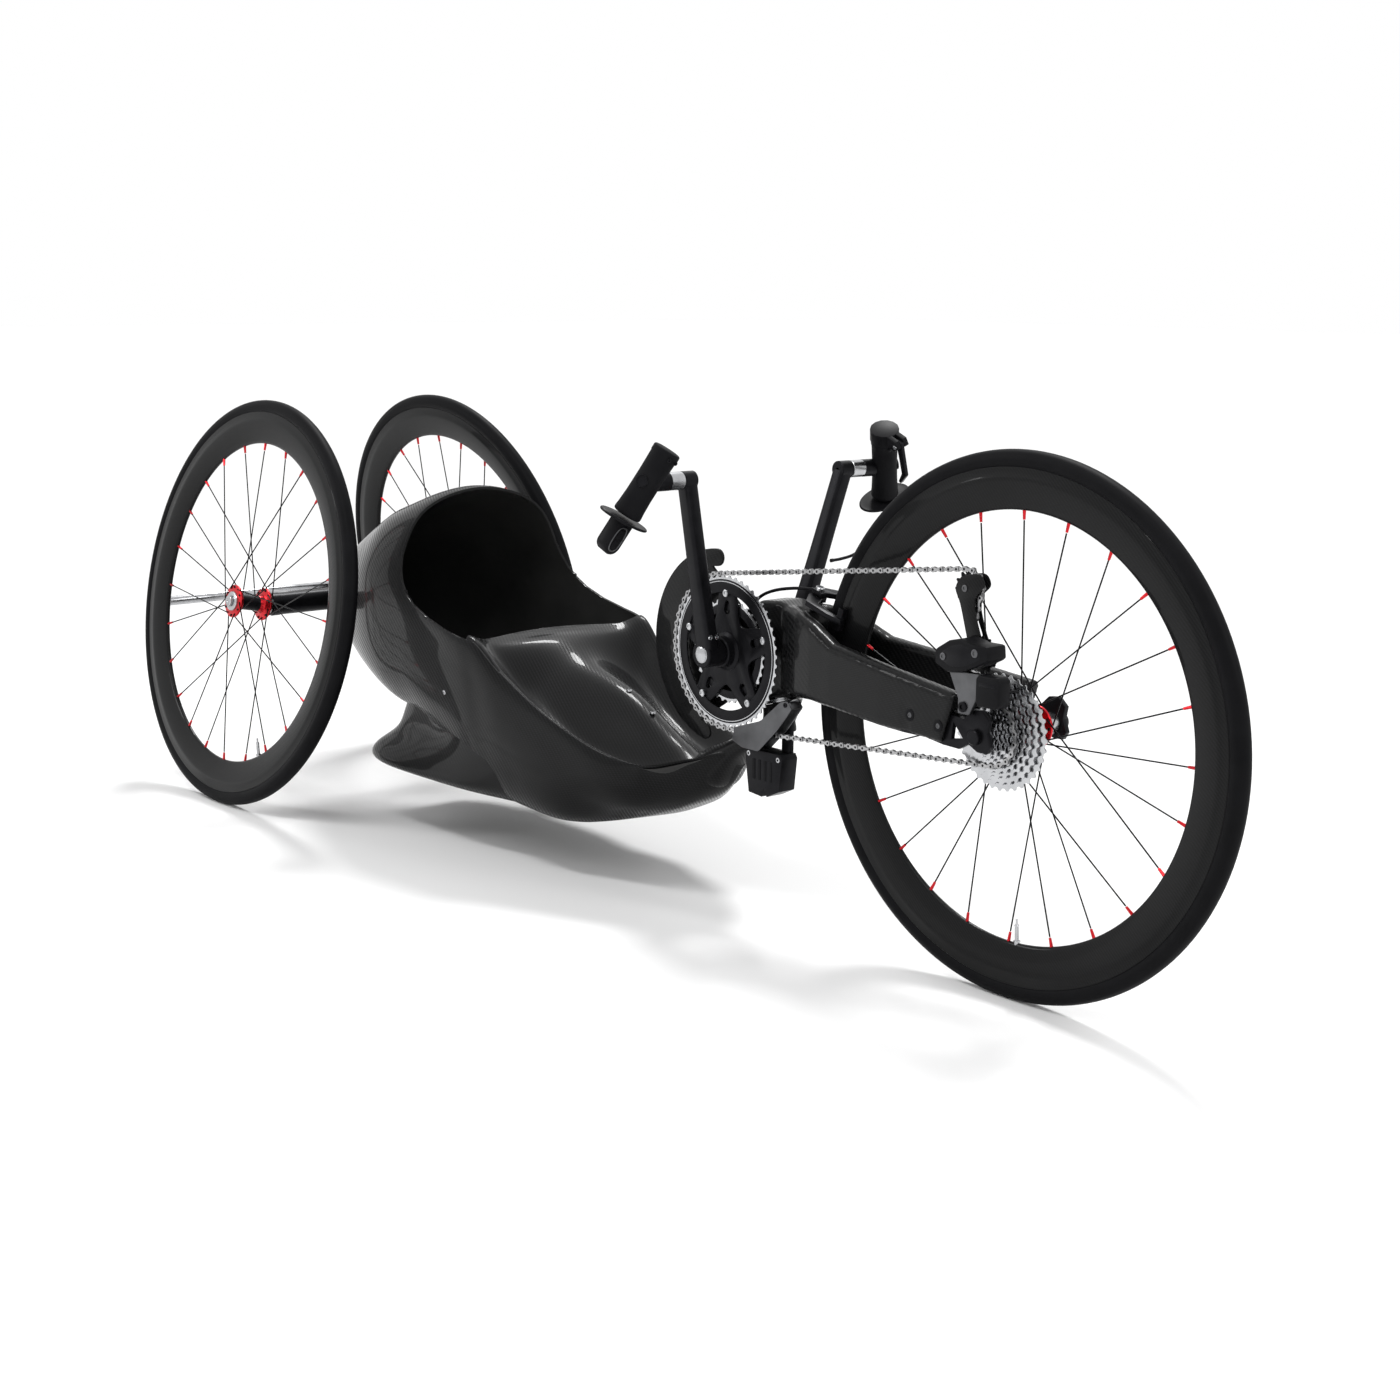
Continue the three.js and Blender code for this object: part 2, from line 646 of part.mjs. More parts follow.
function neckGeometry() {
  const rings = neckShares.map(([backShare, downShare, lean, longShare, wideShare]) => {
    const centreX = neckTopX - neckSetBack * backShare;
    const centreZ = neckTopZ - neckDrop * downShare;
    return circlePoints(0, 0, neckRadius, handleFacets).map(([x, y]) => [
      centreX + x * longShare * Math.cos(lean), y * wideShare, centreZ + x * longShare * Math.sin(lean),
    ]);
  });
  const [from, to] = [-steererLength - seatGap, seatGap + bearingHeight];
  const bore = onSteeringAxis(roundBar(boreFor(steererRadius), from, to + overrun).rotateX(Math.PI / 2));
  const race = onSteeringAxis(roundBar(bearingRadius, -overrun, to, tubeFacets).rotateX(Math.PI / 2));
  return cut(joined(skinned(rings), race), bore, tubBody(-seatGap));
}

function tubGeometry() {
  const passage = roundBar(axleTubeRadius + seatGap, -tubHalfWidth, tubHalfWidth, tubeFacets)
    .translate(0, 0, axleTubeZ);
  return cut(tubBody(0), tubBody(tubWall), ...cockpitCutters(), passage);
}

place(root, 'hull_shell', tubGeometry(), 'carbon');
place(root, 'steering_neck', neckGeometry(), 'carbon');

// Front unit: body behind the wheel, bottom bracket shell, steerer and two legs

const unitShares = [
  [0.39, -0.062], [0.76, 0.048], [0.94, 0.12], [1, 0.21], [1, 0.8], [0.95, 0.91], [0.65, 0.97], [0.45, 0.95],
  [0.28, 0.85], [0.1, 0.62], [0, 0.42], [0.04, 0.22], [0.18, 0.05],
];

// Each station of the right leg: place along it, inner face, outer face, underside and top.
const legShares = [
  [0, 0.05, 0.333, 0.041, 1], [0.08, 0.154, 0.462, 0.05, 1], [0.142, 0.256, 0.59, 0.065, 0.98],
  [0.242, 0.359, 0.692, 0.08, 0.9], [0.37, 0.462, 0.77, 0.065, 0.74], [0.653, 0.61, 0.9, 0.02, 0.642],
  [1, 0.692, 1, 0, 0.52],
];

function legGeometry() {
  const rings = legShares.map(([share, inner, outer, low, high]) => {
    const halfWide = ((outer - inner) * legReach) / 2;
    const halfHigh = ((high - low) * legHeight) / 2;
    const middleY = ((outer + inner) * legReach) / 2;
    const middleZ = legBase + ((high + low) * legHeight) / 2;
    return roundedRectangle(halfWide, halfHigh, halfWide / 2).map(([y, z]) =>
      [legRearX + share * legLength + ((z / halfHigh) * share ** 4 * legEndLean) / 2, -middleY + y, middleZ + z]);
  });
  return skinned(rings);
}

function sized(shares, x, z, length, height) {
  return shares.map(([along, up]) => [x + along * length, z + up * height]);
}

const spindleBore = boreFor(spindleRadius, shaftFacets);

const dropoutShares = [
  [0, 0.1], [0.28, 0.1], [0.48, 0.02], [0.66, 0], [0.76, 0.16], [0.86, 0.02], [0.96, 0.02], [1, 0.2], [0.96, 0.5],
  [0.98, 0.8], [0.9, 1], [0.8, 0.98], [0.7, 0.72], [0.5, 0.78], [0.28, 0.8], [0, 0.8],
];
const dropoutHoleShares = [[0.57, 0.2], [0.7, 0.26], [0.59, 0.6]];
const dropoutRear = wheelbase - dropoutBack;

function dropoutGeometry() {
  const base = frontCentreZ + dropoutBase;
  return plate(sized(dropoutShares, dropoutRear, base, dropoutLength, dropoutHeight),
    -dropoutInner - dropoutThickness, -dropoutInner, [
      sized(dropoutHoleShares, dropoutRear, base, dropoutLength, dropoutHeight),
      circlePoints(wheelbase, frontCentreZ, axlePinRadius + seatGap, pinFacets, Math.PI / pinFacets),
    ]);
}

// The slot in a leg that the dropout plate slides into.
function dropoutSlot() {
  const [rear, front] = [dropoutRear - seatGap, wheelbase + dropoutReach];
  const [low, high] = [0.02, 0.85].map((share) => frontCentreZ + dropoutBase + share * dropoutHeight);
  return plate([[rear, low], [front, low], [front, high], [rear, high]],
    -dropoutInner - dropoutThickness - seatGap, -dropoutInner + seatGap);
}

function unitGeometry() {
  const shape = new THREE.Shape(sized(unitShares, unitRearX, neckTopZ, unitLength, unitHeight)
    .map(([x, z]) => new THREE.Vector2(x, z)));
  const body = new THREE.ExtrudeGeometry(shape, {
    depth: 2 * (unitHalfWidth - unitBevel), bevelEnabled: true, bevelSegments: 1,
    bevelThickness: unitBevel, bevelSize: unitBevel, bevelOffset: -unitBevel,
  }).rotateX(Math.PI / 2).translate(0, unitHalfWidth - unitBevel, 0);
  const shell = roundBar(shellRadius, -shellHalf, shellHalf, shellFacets).translate(crankAxisX, 0, crankAxisZ);
  const steerer = onSteeringAxis(roundBar(steererRadius, -steererLength, bearingHeight * 2, hubFacets)
    .rotateX(Math.PI / 2));
  const leg = legGeometry();
  const whole = joined(body, shell, steerer, leg, mirrored(leg));
  const bore = roundBar(spindleBore, -shellHalf - overrun, shellHalf + overrun, shaftFacets)
    .translate(crankAxisX, 0, crankAxisZ);
  const under = onSteeringAxis(ring(2 * bearingRadius, steererRadius, -overrun, bearingHeight + 2 * seatGap)
    .rotateX(Math.PI / 2));
  const boltPocket = onCaliper(roundBar(2 * caliperBoltRadius + seatGap, -caliperLift - seatGap, caliperLift,
    hubFacets).rotateX(Math.PI / 2).translate(caliperRadius, 0, 0));
  return cut(whole, bore, under, boltPocket, dropoutSlot(), mirrored(dropoutSlot()));
}

place(root, 'front_fork', unitGeometry(), 'carbon');
place(root, 'dropout_right', dropoutGeometry(), 'black');
place(root, 'dropout_left', mirrored(dropoutGeometry()), 'black');

function frontAxleGeometry() {
  const seat = dropoutInner + dropoutThickness + seatGap;
  return revolved([
    [0, -seat - axleNutLength], [stubNutRadius, -seat - axleNutLength], [stubNutRadius, -seat],
    [axlePinRadius, -seat], [axlePinRadius, seat], [axleKnobRadius, seat],
    [axleKnobRadius, seat + axleKnobLength], [0, seat + axleKnobLength],
  ], pinFacets).translate(wheelbase, 0, frontCentreZ);
}

place(root, 'front_axle', frontAxleGeometry(), 'black');

for (const [name, side] of [['right', -1], ['left', 1]]) {
  const near = shellHalf + seatGap;
  const [from, to] = [side * near, side * (near + cupLength)].sort((a, b) => a - b);
  place(root, `bearing_cup_${name}`, ring(cupRadius, spindleBore, from, to, shaftFacets)
    .translate(crankAxisX, 0, crankAxisZ), 'silver');
}

function chainGuardGeometry() {
  const arc = (radius, from, to, steps) => Array.from({ length: steps + 1 }, (_, i) => {
    const angle = from + ((to - from) * i) / steps;
    return [guardCentreX + radius * Math.cos(angle), guardCentreZ + radius * Math.sin(angle)];
  });
  const outline = [
    ...arc(guardRadius, guardStart, guardEnd, guardSteps),
    ...arc(guardRadius - guardWidth, guardEnd, guardEnd - guardWidth / guardRadius, 1),
    [crankAxisX + shellRadius * 3 / 2, crankAxisZ - shellRadius * 3 / 2],
    [crankAxisX + shellRadius * 3 / 2, crankAxisZ + shellRadius * 3 / 2],
    ...arc(guardRadius - guardWidth, guardStart + guardWidth / guardRadius, guardStart, 1),
  ];
  const seat = unitHalfWidth + seatGap;
  return plate(outline, -seat - guardThickness, -seat,
    [circlePoints(crankAxisX, crankAxisZ, shellRadius + seatGap, shellFacets)]);
}

place(root, 'chain_guard', chainGuardGeometry(), 'carbon');

// Drive: toothed wheels, the chain's route round them, and the chain itself

function pitchRadius(teeth) {
  return chainPitch / (2 * Math.sin(Math.PI / teeth));
}

// A toothed disc's outline: each tooth narrows from its root to its tip.
function toothedOutline(teeth, turn) {
  const tip = pitchRadius(teeth) - toothTopGap;
  const rootRadius = tip - toothHeight;
  return Array.from({ length: teeth }, (_, i) => {
    const angle = turn + (2 * Math.PI * i) / teeth;
    return [[rootRadius, angle - Math.PI / teeth], [tip, angle]].map(([radius, at]) =>
      [radius * Math.cos(at), radius * Math.sin(at)]);
  }).flat();
}

function chainringGeometry(teeth, y, band) {
  const bore = pitchRadius(teeth) - toothTopGap - toothHeight - band;
  return plate(toothedOutline(teeth, 0), -y - ringThickness / 2, -y + ringThickness / 2,
    [circlePoints(0, 0, bore, tubeFacets)]).translate(crankAxisX, 0, crankAxisZ);
}

place(root, 'chainring_outer', chainringGeometry(outerTeeth, outerRingY, outerRingBand), 'silver');
place(root, 'chainring_inner', chainringGeometry(innerTeeth, innerRingY, innerRingBand), 'silver');

function cassetteGeometry() {
  const lastY = cassetteInnerY + (cassetteTeeth.length - 1) * cogSpacing;
  const core = ring(cassetteCore, cassetteBore, -lastY, -cassetteInnerY, hubFacets);
  const cogs = cassetteTeeth.map((teeth, i) => {
    const y = cassetteInnerY + i * cogSpacing;
    return plate(toothedOutline(teeth, i), -y - cogThickness / 2, -y + cogThickness / 2,
      [circlePoints(0, 0, (cassetteCore + cassetteBore) / 2, hubFacets)]);
  });
  return joined(core, ...cogs).translate(wheelbase, 0, frontCentreZ);
}

place(root, 'cassette', cassetteGeometry(), 'silver');

// A route of circles [x, z, teeth, turn]: turn is 1 where the chain runs round anticlockwise seen from the left.
function routeOf(cageSwing) {
  const tensionX = guideX + cageLength * Math.cos(cageSwing);
  const tensionZ = guideZ + cageLength * Math.sin(cageSwing);
  return [
    { x: crankAxisX, z: crankAxisZ, teeth: outerTeeth, turn: 1, y: outerRingY },
    { x: wheelbase, z: frontCentreZ, teeth: cassetteTeeth[engagedCog], turn: 1, y: engagedY },
    { x: guideX, z: guideZ, teeth: guideTeeth, turn: -1, y: engagedY },
    { x: tensionX, z: tensionZ, teeth: tensionTeeth, turn: 1, y: engagedY },
  ];
}

const engagedY = cassetteInnerY + engagedCog * cogSpacing;

// The straight run from one circle to the next: the direction of travel and its length.
function tangent(from, to) {
  const [dx, dz] = [to.x - from.x, to.z - from.z];
  const distance = Math.hypot(dx, dz);
  const [near, far] = [from.turn * pitchRadius(from.teeth), to.turn * pitchRadius(to.teeth)];
  const heading = Math.atan2(dz, dx) + Math.asin((near - far) / distance);
  return { heading, length: Math.sqrt(distance ** 2 - (near - far) ** 2) };
}

// Splits the route into arcs and straight runs, each measured in links.
function stretchesOf(route) {
  const runs = route.map((circle, i) => tangent(circle, route[(i + 1) % route.length]));
  return route.flatMap((circle, i) => {
    const arrive = runs[(i + route.length - 1) % route.length].heading;
    const leave = runs[i].heading;
    const full = 2 * Math.PI;
    const swept = (((leave - arrive) * circle.turn) % full + full) % full;
    const next = route[(i + 1) % route.length];
    return [
      { circle, start: arrive, links: (swept * circle.teeth) / full },
      { circle, next, heading: leave, links: runs[i].length / chainPitch },
    ];
  });
}

function linkCount(cageSwing) {
  return stretchesOf(routeOf(cageSwing)).reduce((sum, stretch) => sum + stretch.links, 0);
}

// The cage swings until the chain is a whole, even number of links long.
function settledCage() {
  const wanted = 2 * Math.round(linkCount(cageAngle) / 2);
  let [low, high] = [cageAngle - 1 / 2, cageAngle + 1 / 2];
  const rising = linkCount(high) > linkCount(low);
  for (let step = 0; step < 50; step += 1) {
    const middle = (low + high) / 2;
    if ((linkCount(middle) > wanted) === rising) high = middle;
    else low = middle;
  }
  return { swing: (low + high) / 2, links: wanted };
}

const cage = settledCage();
const chainRoute = routeOf(cage.swing);
const [, , guidePulley, tensionPulley] = chainRoute;

// Where a chain pin lies: its place, the outward direction, and whether it lies on a wrapped sprocket.
function pinAt(link) {
  let rest = link;
  for (const stretch of stretchesOf(chainRoute)) {
    const { circle } = stretch;
    if (rest <= stretch.links) {
      if (stretch.next) {
        const share = rest / stretch.links;
        const radius = pitchRadius(circle.teeth) * circle.turn;
        const [c, s] = [Math.cos(stretch.heading), Math.sin(stretch.heading)];
        const along = rest * chainPitch;
        return {
          x: circle.x + radius * s + along * c, z: circle.z - radius * c + along * s,
          y: -(circle.y + (stretch.next.y - circle.y) * share), heading: stretch.heading, wrapped: false,
        };
      }
      const heading = stretch.start + (circle.turn * rest * 2 * Math.PI) / circle.teeth;
      const radius = pitchRadius(circle.teeth) * circle.turn;
      return {
        x: circle.x + radius * Math.sin(heading), z: circle.z - radius * Math.cos(heading),
        y: -circle.y, heading, wrapped: true, teeth: circle.teeth,
      };
    }
    rest -= stretch.links;
  }
  return pinAt(0);
}

// Skins a closed loop of rings, the last ring joined to the first.
function loopSkinned(rings) {
  const count = rings[0].length;
  const index = [];
  for (let r = 0; r < rings.length; r += 1) {
    const next = (r + 1) % rings.length;
    for (let i = 0; i < count; i += 1) {
      const j = (i + 1) % count;
      index.push(r * count + i, r * count + j, next * count + j);
      index.push(r * count + i, next * count + j, next * count + i);
    }
  }
  const geometry = new THREE.BufferGeometry();
  geometry.setAttribute('position', new THREE.BufferAttribute(new Float32Array(rings.flat(2)), 3));
  geometry.setIndex(index);
  return closed(geometry);
}

// The chain: two loops of side plates, and a pin across them at every second link.
function chainGeometry() {
  const pins = Array.from({ length: cage.links }, (_, i) => pinAt(i));
  const corners = pins.filter((pin, i) => {
    const next = pins[(i + 1) % pins.length];
    const last = pins[(i + pins.length - 1) % pins.length];
    const between = pin.teeth > outerTeeth / 2 && i % 2;
    return (pin.wrapped || next.wrapped || last.wrapped) && !between;
  });
  const side = (near, far) => loopSkinned(corners.map((pin) => {
    const [nx, nz] = [-Math.sin(pin.heading), Math.cos(pin.heading)];
    return [[1, near], [1, far], [-1, far], [-1, near]].map(([up, across]) => [
      pin.x + nx * up * chainPlateHalfHeight, pin.y + across, pin.z + nz * up * chainPlateHalfHeight,
    ]);
  }));
  const inner = chainHalfWidth - chainPlate;
  const plates = [side(inner, chainHalfWidth), side(-chainHalfWidth, -inner)];
  const pinHalf = inner + chainPlate / 2;
  const bars = pins.filter((_, i) => i % 2 === 0).map((pin) =>
    roundBar(chainPinRadius, -pinHalf, pinHalf, chainPinFacets).rotateY(-pin.heading)
      .translate(pin.x, pin.y, pin.z));
  return joined(mergeGeometries(plates.map(closed)), mergeGeometries(bars.map(closed)));
}

place(root, 'chain', chainGeometry(), 'silver');

// Spider, spindle and crank arms

function spiderGeometry() {
  const outer = outerRingY - ringThickness / 2 - seatGap;
  const inner = innerRingY + ringThickness / 2 + seatGap;
  const points = [];
  const half = Math.PI / spiderArms;
  for (let i = 0; i < spiderArms; i += 1) {
    const angle = (2 * Math.PI * i) / spiderArms + half / 2;
    for (const [radius, turn] of [[spiderReach, -half / 5], [spiderReach, half / 5], [spiderNotchRadius, half]]) {
      points.push([radius * Math.cos(angle + turn), radius * Math.sin(angle + turn)]);
    }
  }
  const star = plate(points, -outer, -inner);
  const boss = roundBar(spiderBossRadius, -spiderBossOuterY, -(outer + inner) / 2, shaftFacets);
  const bore = roundBar(spindleRadius + seatGap, -spiderBossOuterY - overrun, overrun, shaftFacets);
  return cut(joined(star, boss), bore).translate(crankAxisX, 0, crankAxisZ);
}

place(root, 'spider', spiderGeometry(), 'black');
place(root, 'crank_spindle', roundBar(spindleRadius, -armBossOuterY, armBossOuterY, shaftFacets)
  .translate(crankAxisX, 0, crankAxisZ), 'silver');

const crankTipX = crankAxisX + crankLength * Math.sin(crankLean);
const crankTipZ = crankAxisZ + crankLength * Math.cos(crankLean);
const armShares = [[0, 1], [0.06, 1], [0.94, 0.08], [1, 0]];

// The right crank arm: a boss on the spindle, a tapered arm that leans outward, and an eye for the grip's pin.
function crankArmGeometry() {
  const rings = armShares.map(([share, widthShare]) => {
    const halfWide = (armTipWidth + (armRootWidth - armTipWidth) * widthShare) / 2;
    const y = armRootY + (armTipY - armRootY) * share;
    return roundedRectangle(halfWide, armThickness / 2, armThickness / 5).map(([x, across]) =>
      [x, -y + across, share * crankLength]);
  });
  const arm = skinned(rings).rotateY(crankLean).translate(crankAxisX, 0, crankAxisZ);
  const boss = roundBar(armBossRadius, -armBossOuterY, -armBossInnerY, shaftFacets)
    .translate(crankAxisX, 0, crankAxisZ);
  const eye = roundBar(armEyeRadius, -armTipY - armThickness / 2, -armTipY + armThickness / 2, pinFacets)
    .translate(crankTipX, 0, crankTipZ);
  const [from, to] = [-armBossOuterY - overrun, -armBossInnerY + 2 * overrun];
  const bore = roundBar(spindleRadius + seatGap, from, to, shaftFacets).translate(crankAxisX, 0, crankAxisZ);
  return cut(joined(arm, boss, eye), bore);
}

// The pin is fixed in the arm's eye and carries the grip's sleeve.
function gripPinGeometry() {
  const seat = armTipY + armThickness / 2 + seatGap;
  return roundBar(gripPinRadius, -seat - gripPinLength, -seat, pinFacets).translate(crankTipX, 0, crankTipZ);
}

// Grips: built upright about the crank pin's height, then leaned outward and rearward at the lower end

const gripX = crankTipX + gripAhead;

function onGrip(geometry) {
  return geometry.rotateX(-gripTiltX).rotateY(gripTiltY).translate(gripX, -gripMiddleY, crankTipZ);
}

function uprightBar(radius, from, to, facets) {
  return roundBar(radius, from, to, facets).rotateX(Math.PI / 2);
}

function gripGeometry() {
  const handle = onGrip(uprightBar(gripRadius, -gripLower, gripUpper, handleFacets));
  const sleeveStart = armTipY + armThickness / 2 + 2 * seatGap;
  const sleeve = roundBar(gripSleeveRadius, -gripMiddleY, -sleeveStart, pinFacets)
    .translate(crankTipX, 0, crankTipZ);
  const [from, to] = [-sleeveStart - gripPinLength, -sleeveStart + overrun];
  const bore = roundBar(boreFor(gripPinRadius, pinFacets), from, to, pinFacets)
    .translate(crankTipX, 0, crankTipZ);
  return cut(joined(handle, sleeve), bore);
}

function handGuardGeometry() {
  const top = -gripLower - seatGap;
  const disc = roundBar(guardDiscShort, top - guardDiscThickness, top, shaftFacets);
  return onGrip(disc.rotateX(Math.PI / 2).scale(1, guardDiscLong / guardDiscShort, 1));
}

const podTop = -gripLower - guardDiscThickness - 2 * seatGap;

function podGeometry() {
  const pod = skinned([podTop - podLength, podTop].map((z) =>
    roundedRectangle(podDepth / 2, podWidth / 2, podDepth / 4).map(([x, y]) => [x, y, z])));
  const pockets = [0, 1].map((i) => buttonBlock(i, seatGap, podDepth / 2 - 2 * buttonTravel, overrun));
  return onGrip(cut(pod, ...pockets));
}

// A button, or its pocket when it is grown by a gap, on the pod's front face.
function buttonBlock(index, grow, from, proud) {
  const z = podTop - podLength / 2 + (index - 1 / 2) * buttonSpacing;
  const depth = podDepth / 2 + proud - from;
  return new THREE.BoxGeometry(depth, buttonWidth + 2 * grow, buttonLength + 2 * grow)
    .translate(from + depth / 2, 0, z);
}

function buttonGeometry(index) {
  return onGrip(buttonBlock(index, 0, podDepth / 2 - buttonProud + seatGap, buttonProud));
}

for (const [name, turn] of [['right', (geometry) => geometry], ['left', mirrored]]) {
  place(root, `crank_arm_${name}`, turn(crankArmGeometry()), 'black');
  place(root, `grip_pin_${name}`, turn(gripPinGeometry()), 'silver');
  place(root, `grip_${name}`, turn(gripGeometry()), 'rubber');
  place(root, `hand_guard_${name}`, turn(handGuardGeometry()), 'black');
}

place(root, 'shifter_pod', podGeometry(), 'black');
place(root, 'shift_button_upper', buttonGeometry(1), 'rubber');
place(root, 'shift_button_lower', buttonGeometry(0), 'rubber');

// Brake lever on the left grip's upper end

const leverPivotZ = gripUpper + seatGap + bracketLength / 2;

function leverBracketGeometry() {
  const foot = gripUpper + seatGap;
  const cap = uprightBar(bracketRadius, foot, foot + bracketLength, handleFacets);
  const jaw = leverThickness / 2 + seatGap;
  const nose = plate([
    [0, foot], [leverStandOff, foot + leverWidth / 4], [leverStandOff + leverWidth / 2, leverPivotZ],
    [leverStandOff, gripUpper + bracketLength], [0, foot + bracketLength],
  ], -bracketRadius / 2, bracketRadius / 2);
  const slot = new THREE.BoxGeometry(2 * leverStandOff, 2 * jaw, 2 * bracketLength)
    .translate(leverStandOff + bracketRadius, 0, leverPivotZ);
  return mirrored(onGrip(cut(joined(cap, nose), slot)));
}

// The lever's side view, in shares of its length: down from the pivot, then ahead of it.
const leverShares = [
  [0, -0.09], [0.35, 0.02], [0.75, 0.12], [1, 0.02], [1.03, 0.09], [0.75, 0.26], [0.35, 0.17], [0.1, 0.12],
  [0, 0.1],
];

function brakeLeverGeometry() {
  const outline = leverShares.map(([down, ahead]) =>
    [leverStandOff - leverWidth / 4 + ahead * leverLength, leverPivotZ + leverWidth / 2 - down * leverLength]);
  return mirrored(onGrip(plate(outline, -leverThickness / 2, leverThickness / 2)));
}

place(root, 'lever_bracket', leverBracketGeometry(), 'black');
place(root, 'brake_lever', brakeLeverGeometry(), 'black');

// Rim brake: two arms on one bolt, in a plane through the wheel's axle line

// Moves a piece built with +X out from the axle, +Y to the right and +Z up the bolt to the caliper's place.
function onCaliper(geometry) {
  return geometry.rotateZ(Math.PI).rotateY(caliperAngle).translate(wheelbase, 0, frontCentreZ);
}

// Each arm's outline in [out from the axle, across], as shares of the reach and the half width.
const caliperShares = [
  [1.13, -0.2], [1.13, 0.3], [0.85, 1], [0.2, 1], [-0.12, 0.8], [-0.12, 0.56], [0.2, 0.66], [0.68, 0.62],
  [0.84, 0.1], [0.84, -0.2],
];

function caliperArmGeometry(side, layer) {
  const reach = caliperRadius - padRadius;
  const base = layer * (caliperThickness + seatGap);
  const shape = new THREE.Shape(caliperShares.map(([out, across]) =>
    new THREE.Vector2(padRadius + out * reach, -side * across * caliperHalfWidth)));
  const bore = circlePoints(caliperRadius, 0, boreFor(caliperBoltRadius, hubFacets), hubFacets);
  shape.holes.push(new THREE.Path(bore.map(([x, y]) => new THREE.Vector2(x, y))));
  const arm = new THREE.ExtrudeGeometry(shape, { depth: caliperThickness, bevelEnabled: false });
  const padFace = rimHalfWidth + padGap;
  const padBack = caliperHalfWidth * 2 / 3;
  const pad = new THREE.BoxGeometry(padHeight, padBack - padFace, padLength)
    .translate(padRadius, -side * (padFace + padBack) / 2, caliperThickness / 2);
  return onCaliper(joined(arm.translate(0, 0, base), pad));
}

function caliperBoltGeometry() {
  const top = 2 * caliperThickness + 3 * seatGap;
  return onCaliper(revolved([
    [0, -caliperLift], [2 * caliperBoltRadius, -caliperLift], [2 * caliperBoltRadius, -seatGap],
    [caliperBoltRadius, -seatGap], [caliperBoltRadius, top], [3 * caliperBoltRadius / 2, top],
    [3 * caliperBoltRadius / 2, top + caliperBoltRadius], [0, top + caliperBoltRadius],
  ], hubFacets).rotateX(Math.PI / 2).translate(caliperRadius, 0, 0));
}

place(root, 'caliper_bolt', caliperBoltGeometry(), 'black');
place(root, 'caliper_arm_right', caliperArmGeometry(-1, 0), 'black');
place(root, 'caliper_arm_left', caliperArmGeometry(1, 1), 'black');

// Cables: each follows points that were chosen by hand

const upperCableRoute = [
  [1046.9, 223.3, 543.6], [1044, 219, 525], [1036, 206, 502], [1029, 178, 484], [1027.5, 152, 479],
  [1027, 134, 478],
];
const lowerCableRoute = [
  [1036, -14, 431.5], [1044, -15, 440], [1057, -15, 448], [1080, -14, 456], [1108, -9, 461], [1126, -4, 462],
  [1136.6, -1, 461.8],
];

function cableGeometry(route, steps) {
  const curve = new THREE.CatmullRomCurve3(route.map((point) => new THREE.Vector3(...point)));
  const outline = circlePoints(0, 0, cableRadius, cableFacets);
  const section = new THREE.Shape(outline.map(([x, y]) => new THREE.Vector2(x, y)));
  return new THREE.ExtrudeGeometry(section, { steps, extrudePath: curve, bevelEnabled: false });
}

place(root, 'brake_cable_upper', cableGeometry(upperCableRoute, upperCableSteps), 'black');
place(root, 'brake_cable_lower', cableGeometry(lowerCableRoute, lowerCableSteps), 'black');

// Rear derailleur: hanger link, battery, knuckle, and the swinging cage with its two pulleys

function pulleyGeometry(teeth, circle) {
  return plate(toothedOutline(teeth, 0), -engagedY - pulleyHalfWidth / 2, -engagedY + pulleyHalfWidth / 2,
    [circlePoints(0, 0, boreFor(pulleyBore, slimFacets), slimFacets)]).translate(circle.x, 0, circle.z);
}

place(root, 'guide_pulley', pulleyGeometry(guideTeeth, guidePulley), 'black');
place(root, 'tension_pulley', pulleyGeometry(tensionTeeth, tensionPulley), 'black');

// The cage: two plates, outside and inside the pulleys, joined by the pulleys' two axles.
function cageGeometry() {
  const [c, s] = [Math.cos(cage.swing), Math.sin(cage.swing)];
  const blade = [
    [-0.16, -0.17], [-0.2, 0.05], [-0.1, 0.17], [0.35, 0.15], [0.8, 0.12], [1.05, 0.15], [1.13, -0.05],
    [1.08, -0.3], [0.92, -0.34], [0.8, -0.1], [0.3, -0.08],
  ].map(([along, across]) => [
    guideX + (c * along - s * across) * cageLength, guideZ + (s * along + c * across) * cageLength,
  ]);
  const blades = [1, -1].map((side) => {
    const from = -engagedY + side * cageHalfGap;
    return plate(blade, Math.min(from, from + side * cageThickness), Math.max(from, from + side * cageThickness));
  });
  const axleHalf = cageHalfGap + cageThickness / 2;
  const axles = [guidePulley, tensionPulley].map((circle) =>
    roundBar(pulleyBore, -engagedY - axleHalf, -engagedY + axleHalf, slimFacets)
      .translate(circle.x, 0, circle.z));
  return joined(...blades, ...axles);
}

place(root, 'derailleur_cage', cageGeometry(), 'black');

const knuckleInnerY = engagedY + cageHalfGap + cageThickness + seatGap;

// The knuckle's side view, in shares of its radius from the guide pulley's centre
const knuckleShares = [
  [-1.9, -0.5], [-1.9, 0.3], [-0.9, 0.9], [0, 1.1], [0.9, 0.9], [2, 0.9], [2.1, 0.1], [1.2, -0.35], [0.2, -0.75],
  [-1, -0.9],
];
const knuckleOutline = sized(knuckleShares, guideX, guideZ, knuckleRadius, knuckleRadius);

// The link from the dropout up to the knuckle's underside, in shares of its radius from the hanger bolt
const linkShares = [[-1, 1], [-1, -1], [1, -1], [2, 1]];

function linkGeometry() {
  const seat = dropoutInner + dropoutThickness + seatGap;
  const [above, below] = knuckleOutline.slice(-2).map(([x, z]) => [x, z - seatGap]);
  const inner = batteryRear - seatGap;
  return plate([
    ...sized(linkShares, hangerX, hangerZ, linkRadius, linkRadius), [inner, hangerZ + 2 * linkRadius],
    [inner, above[1]], above, below,
  ], -seat - linkThickness, -seat);
}

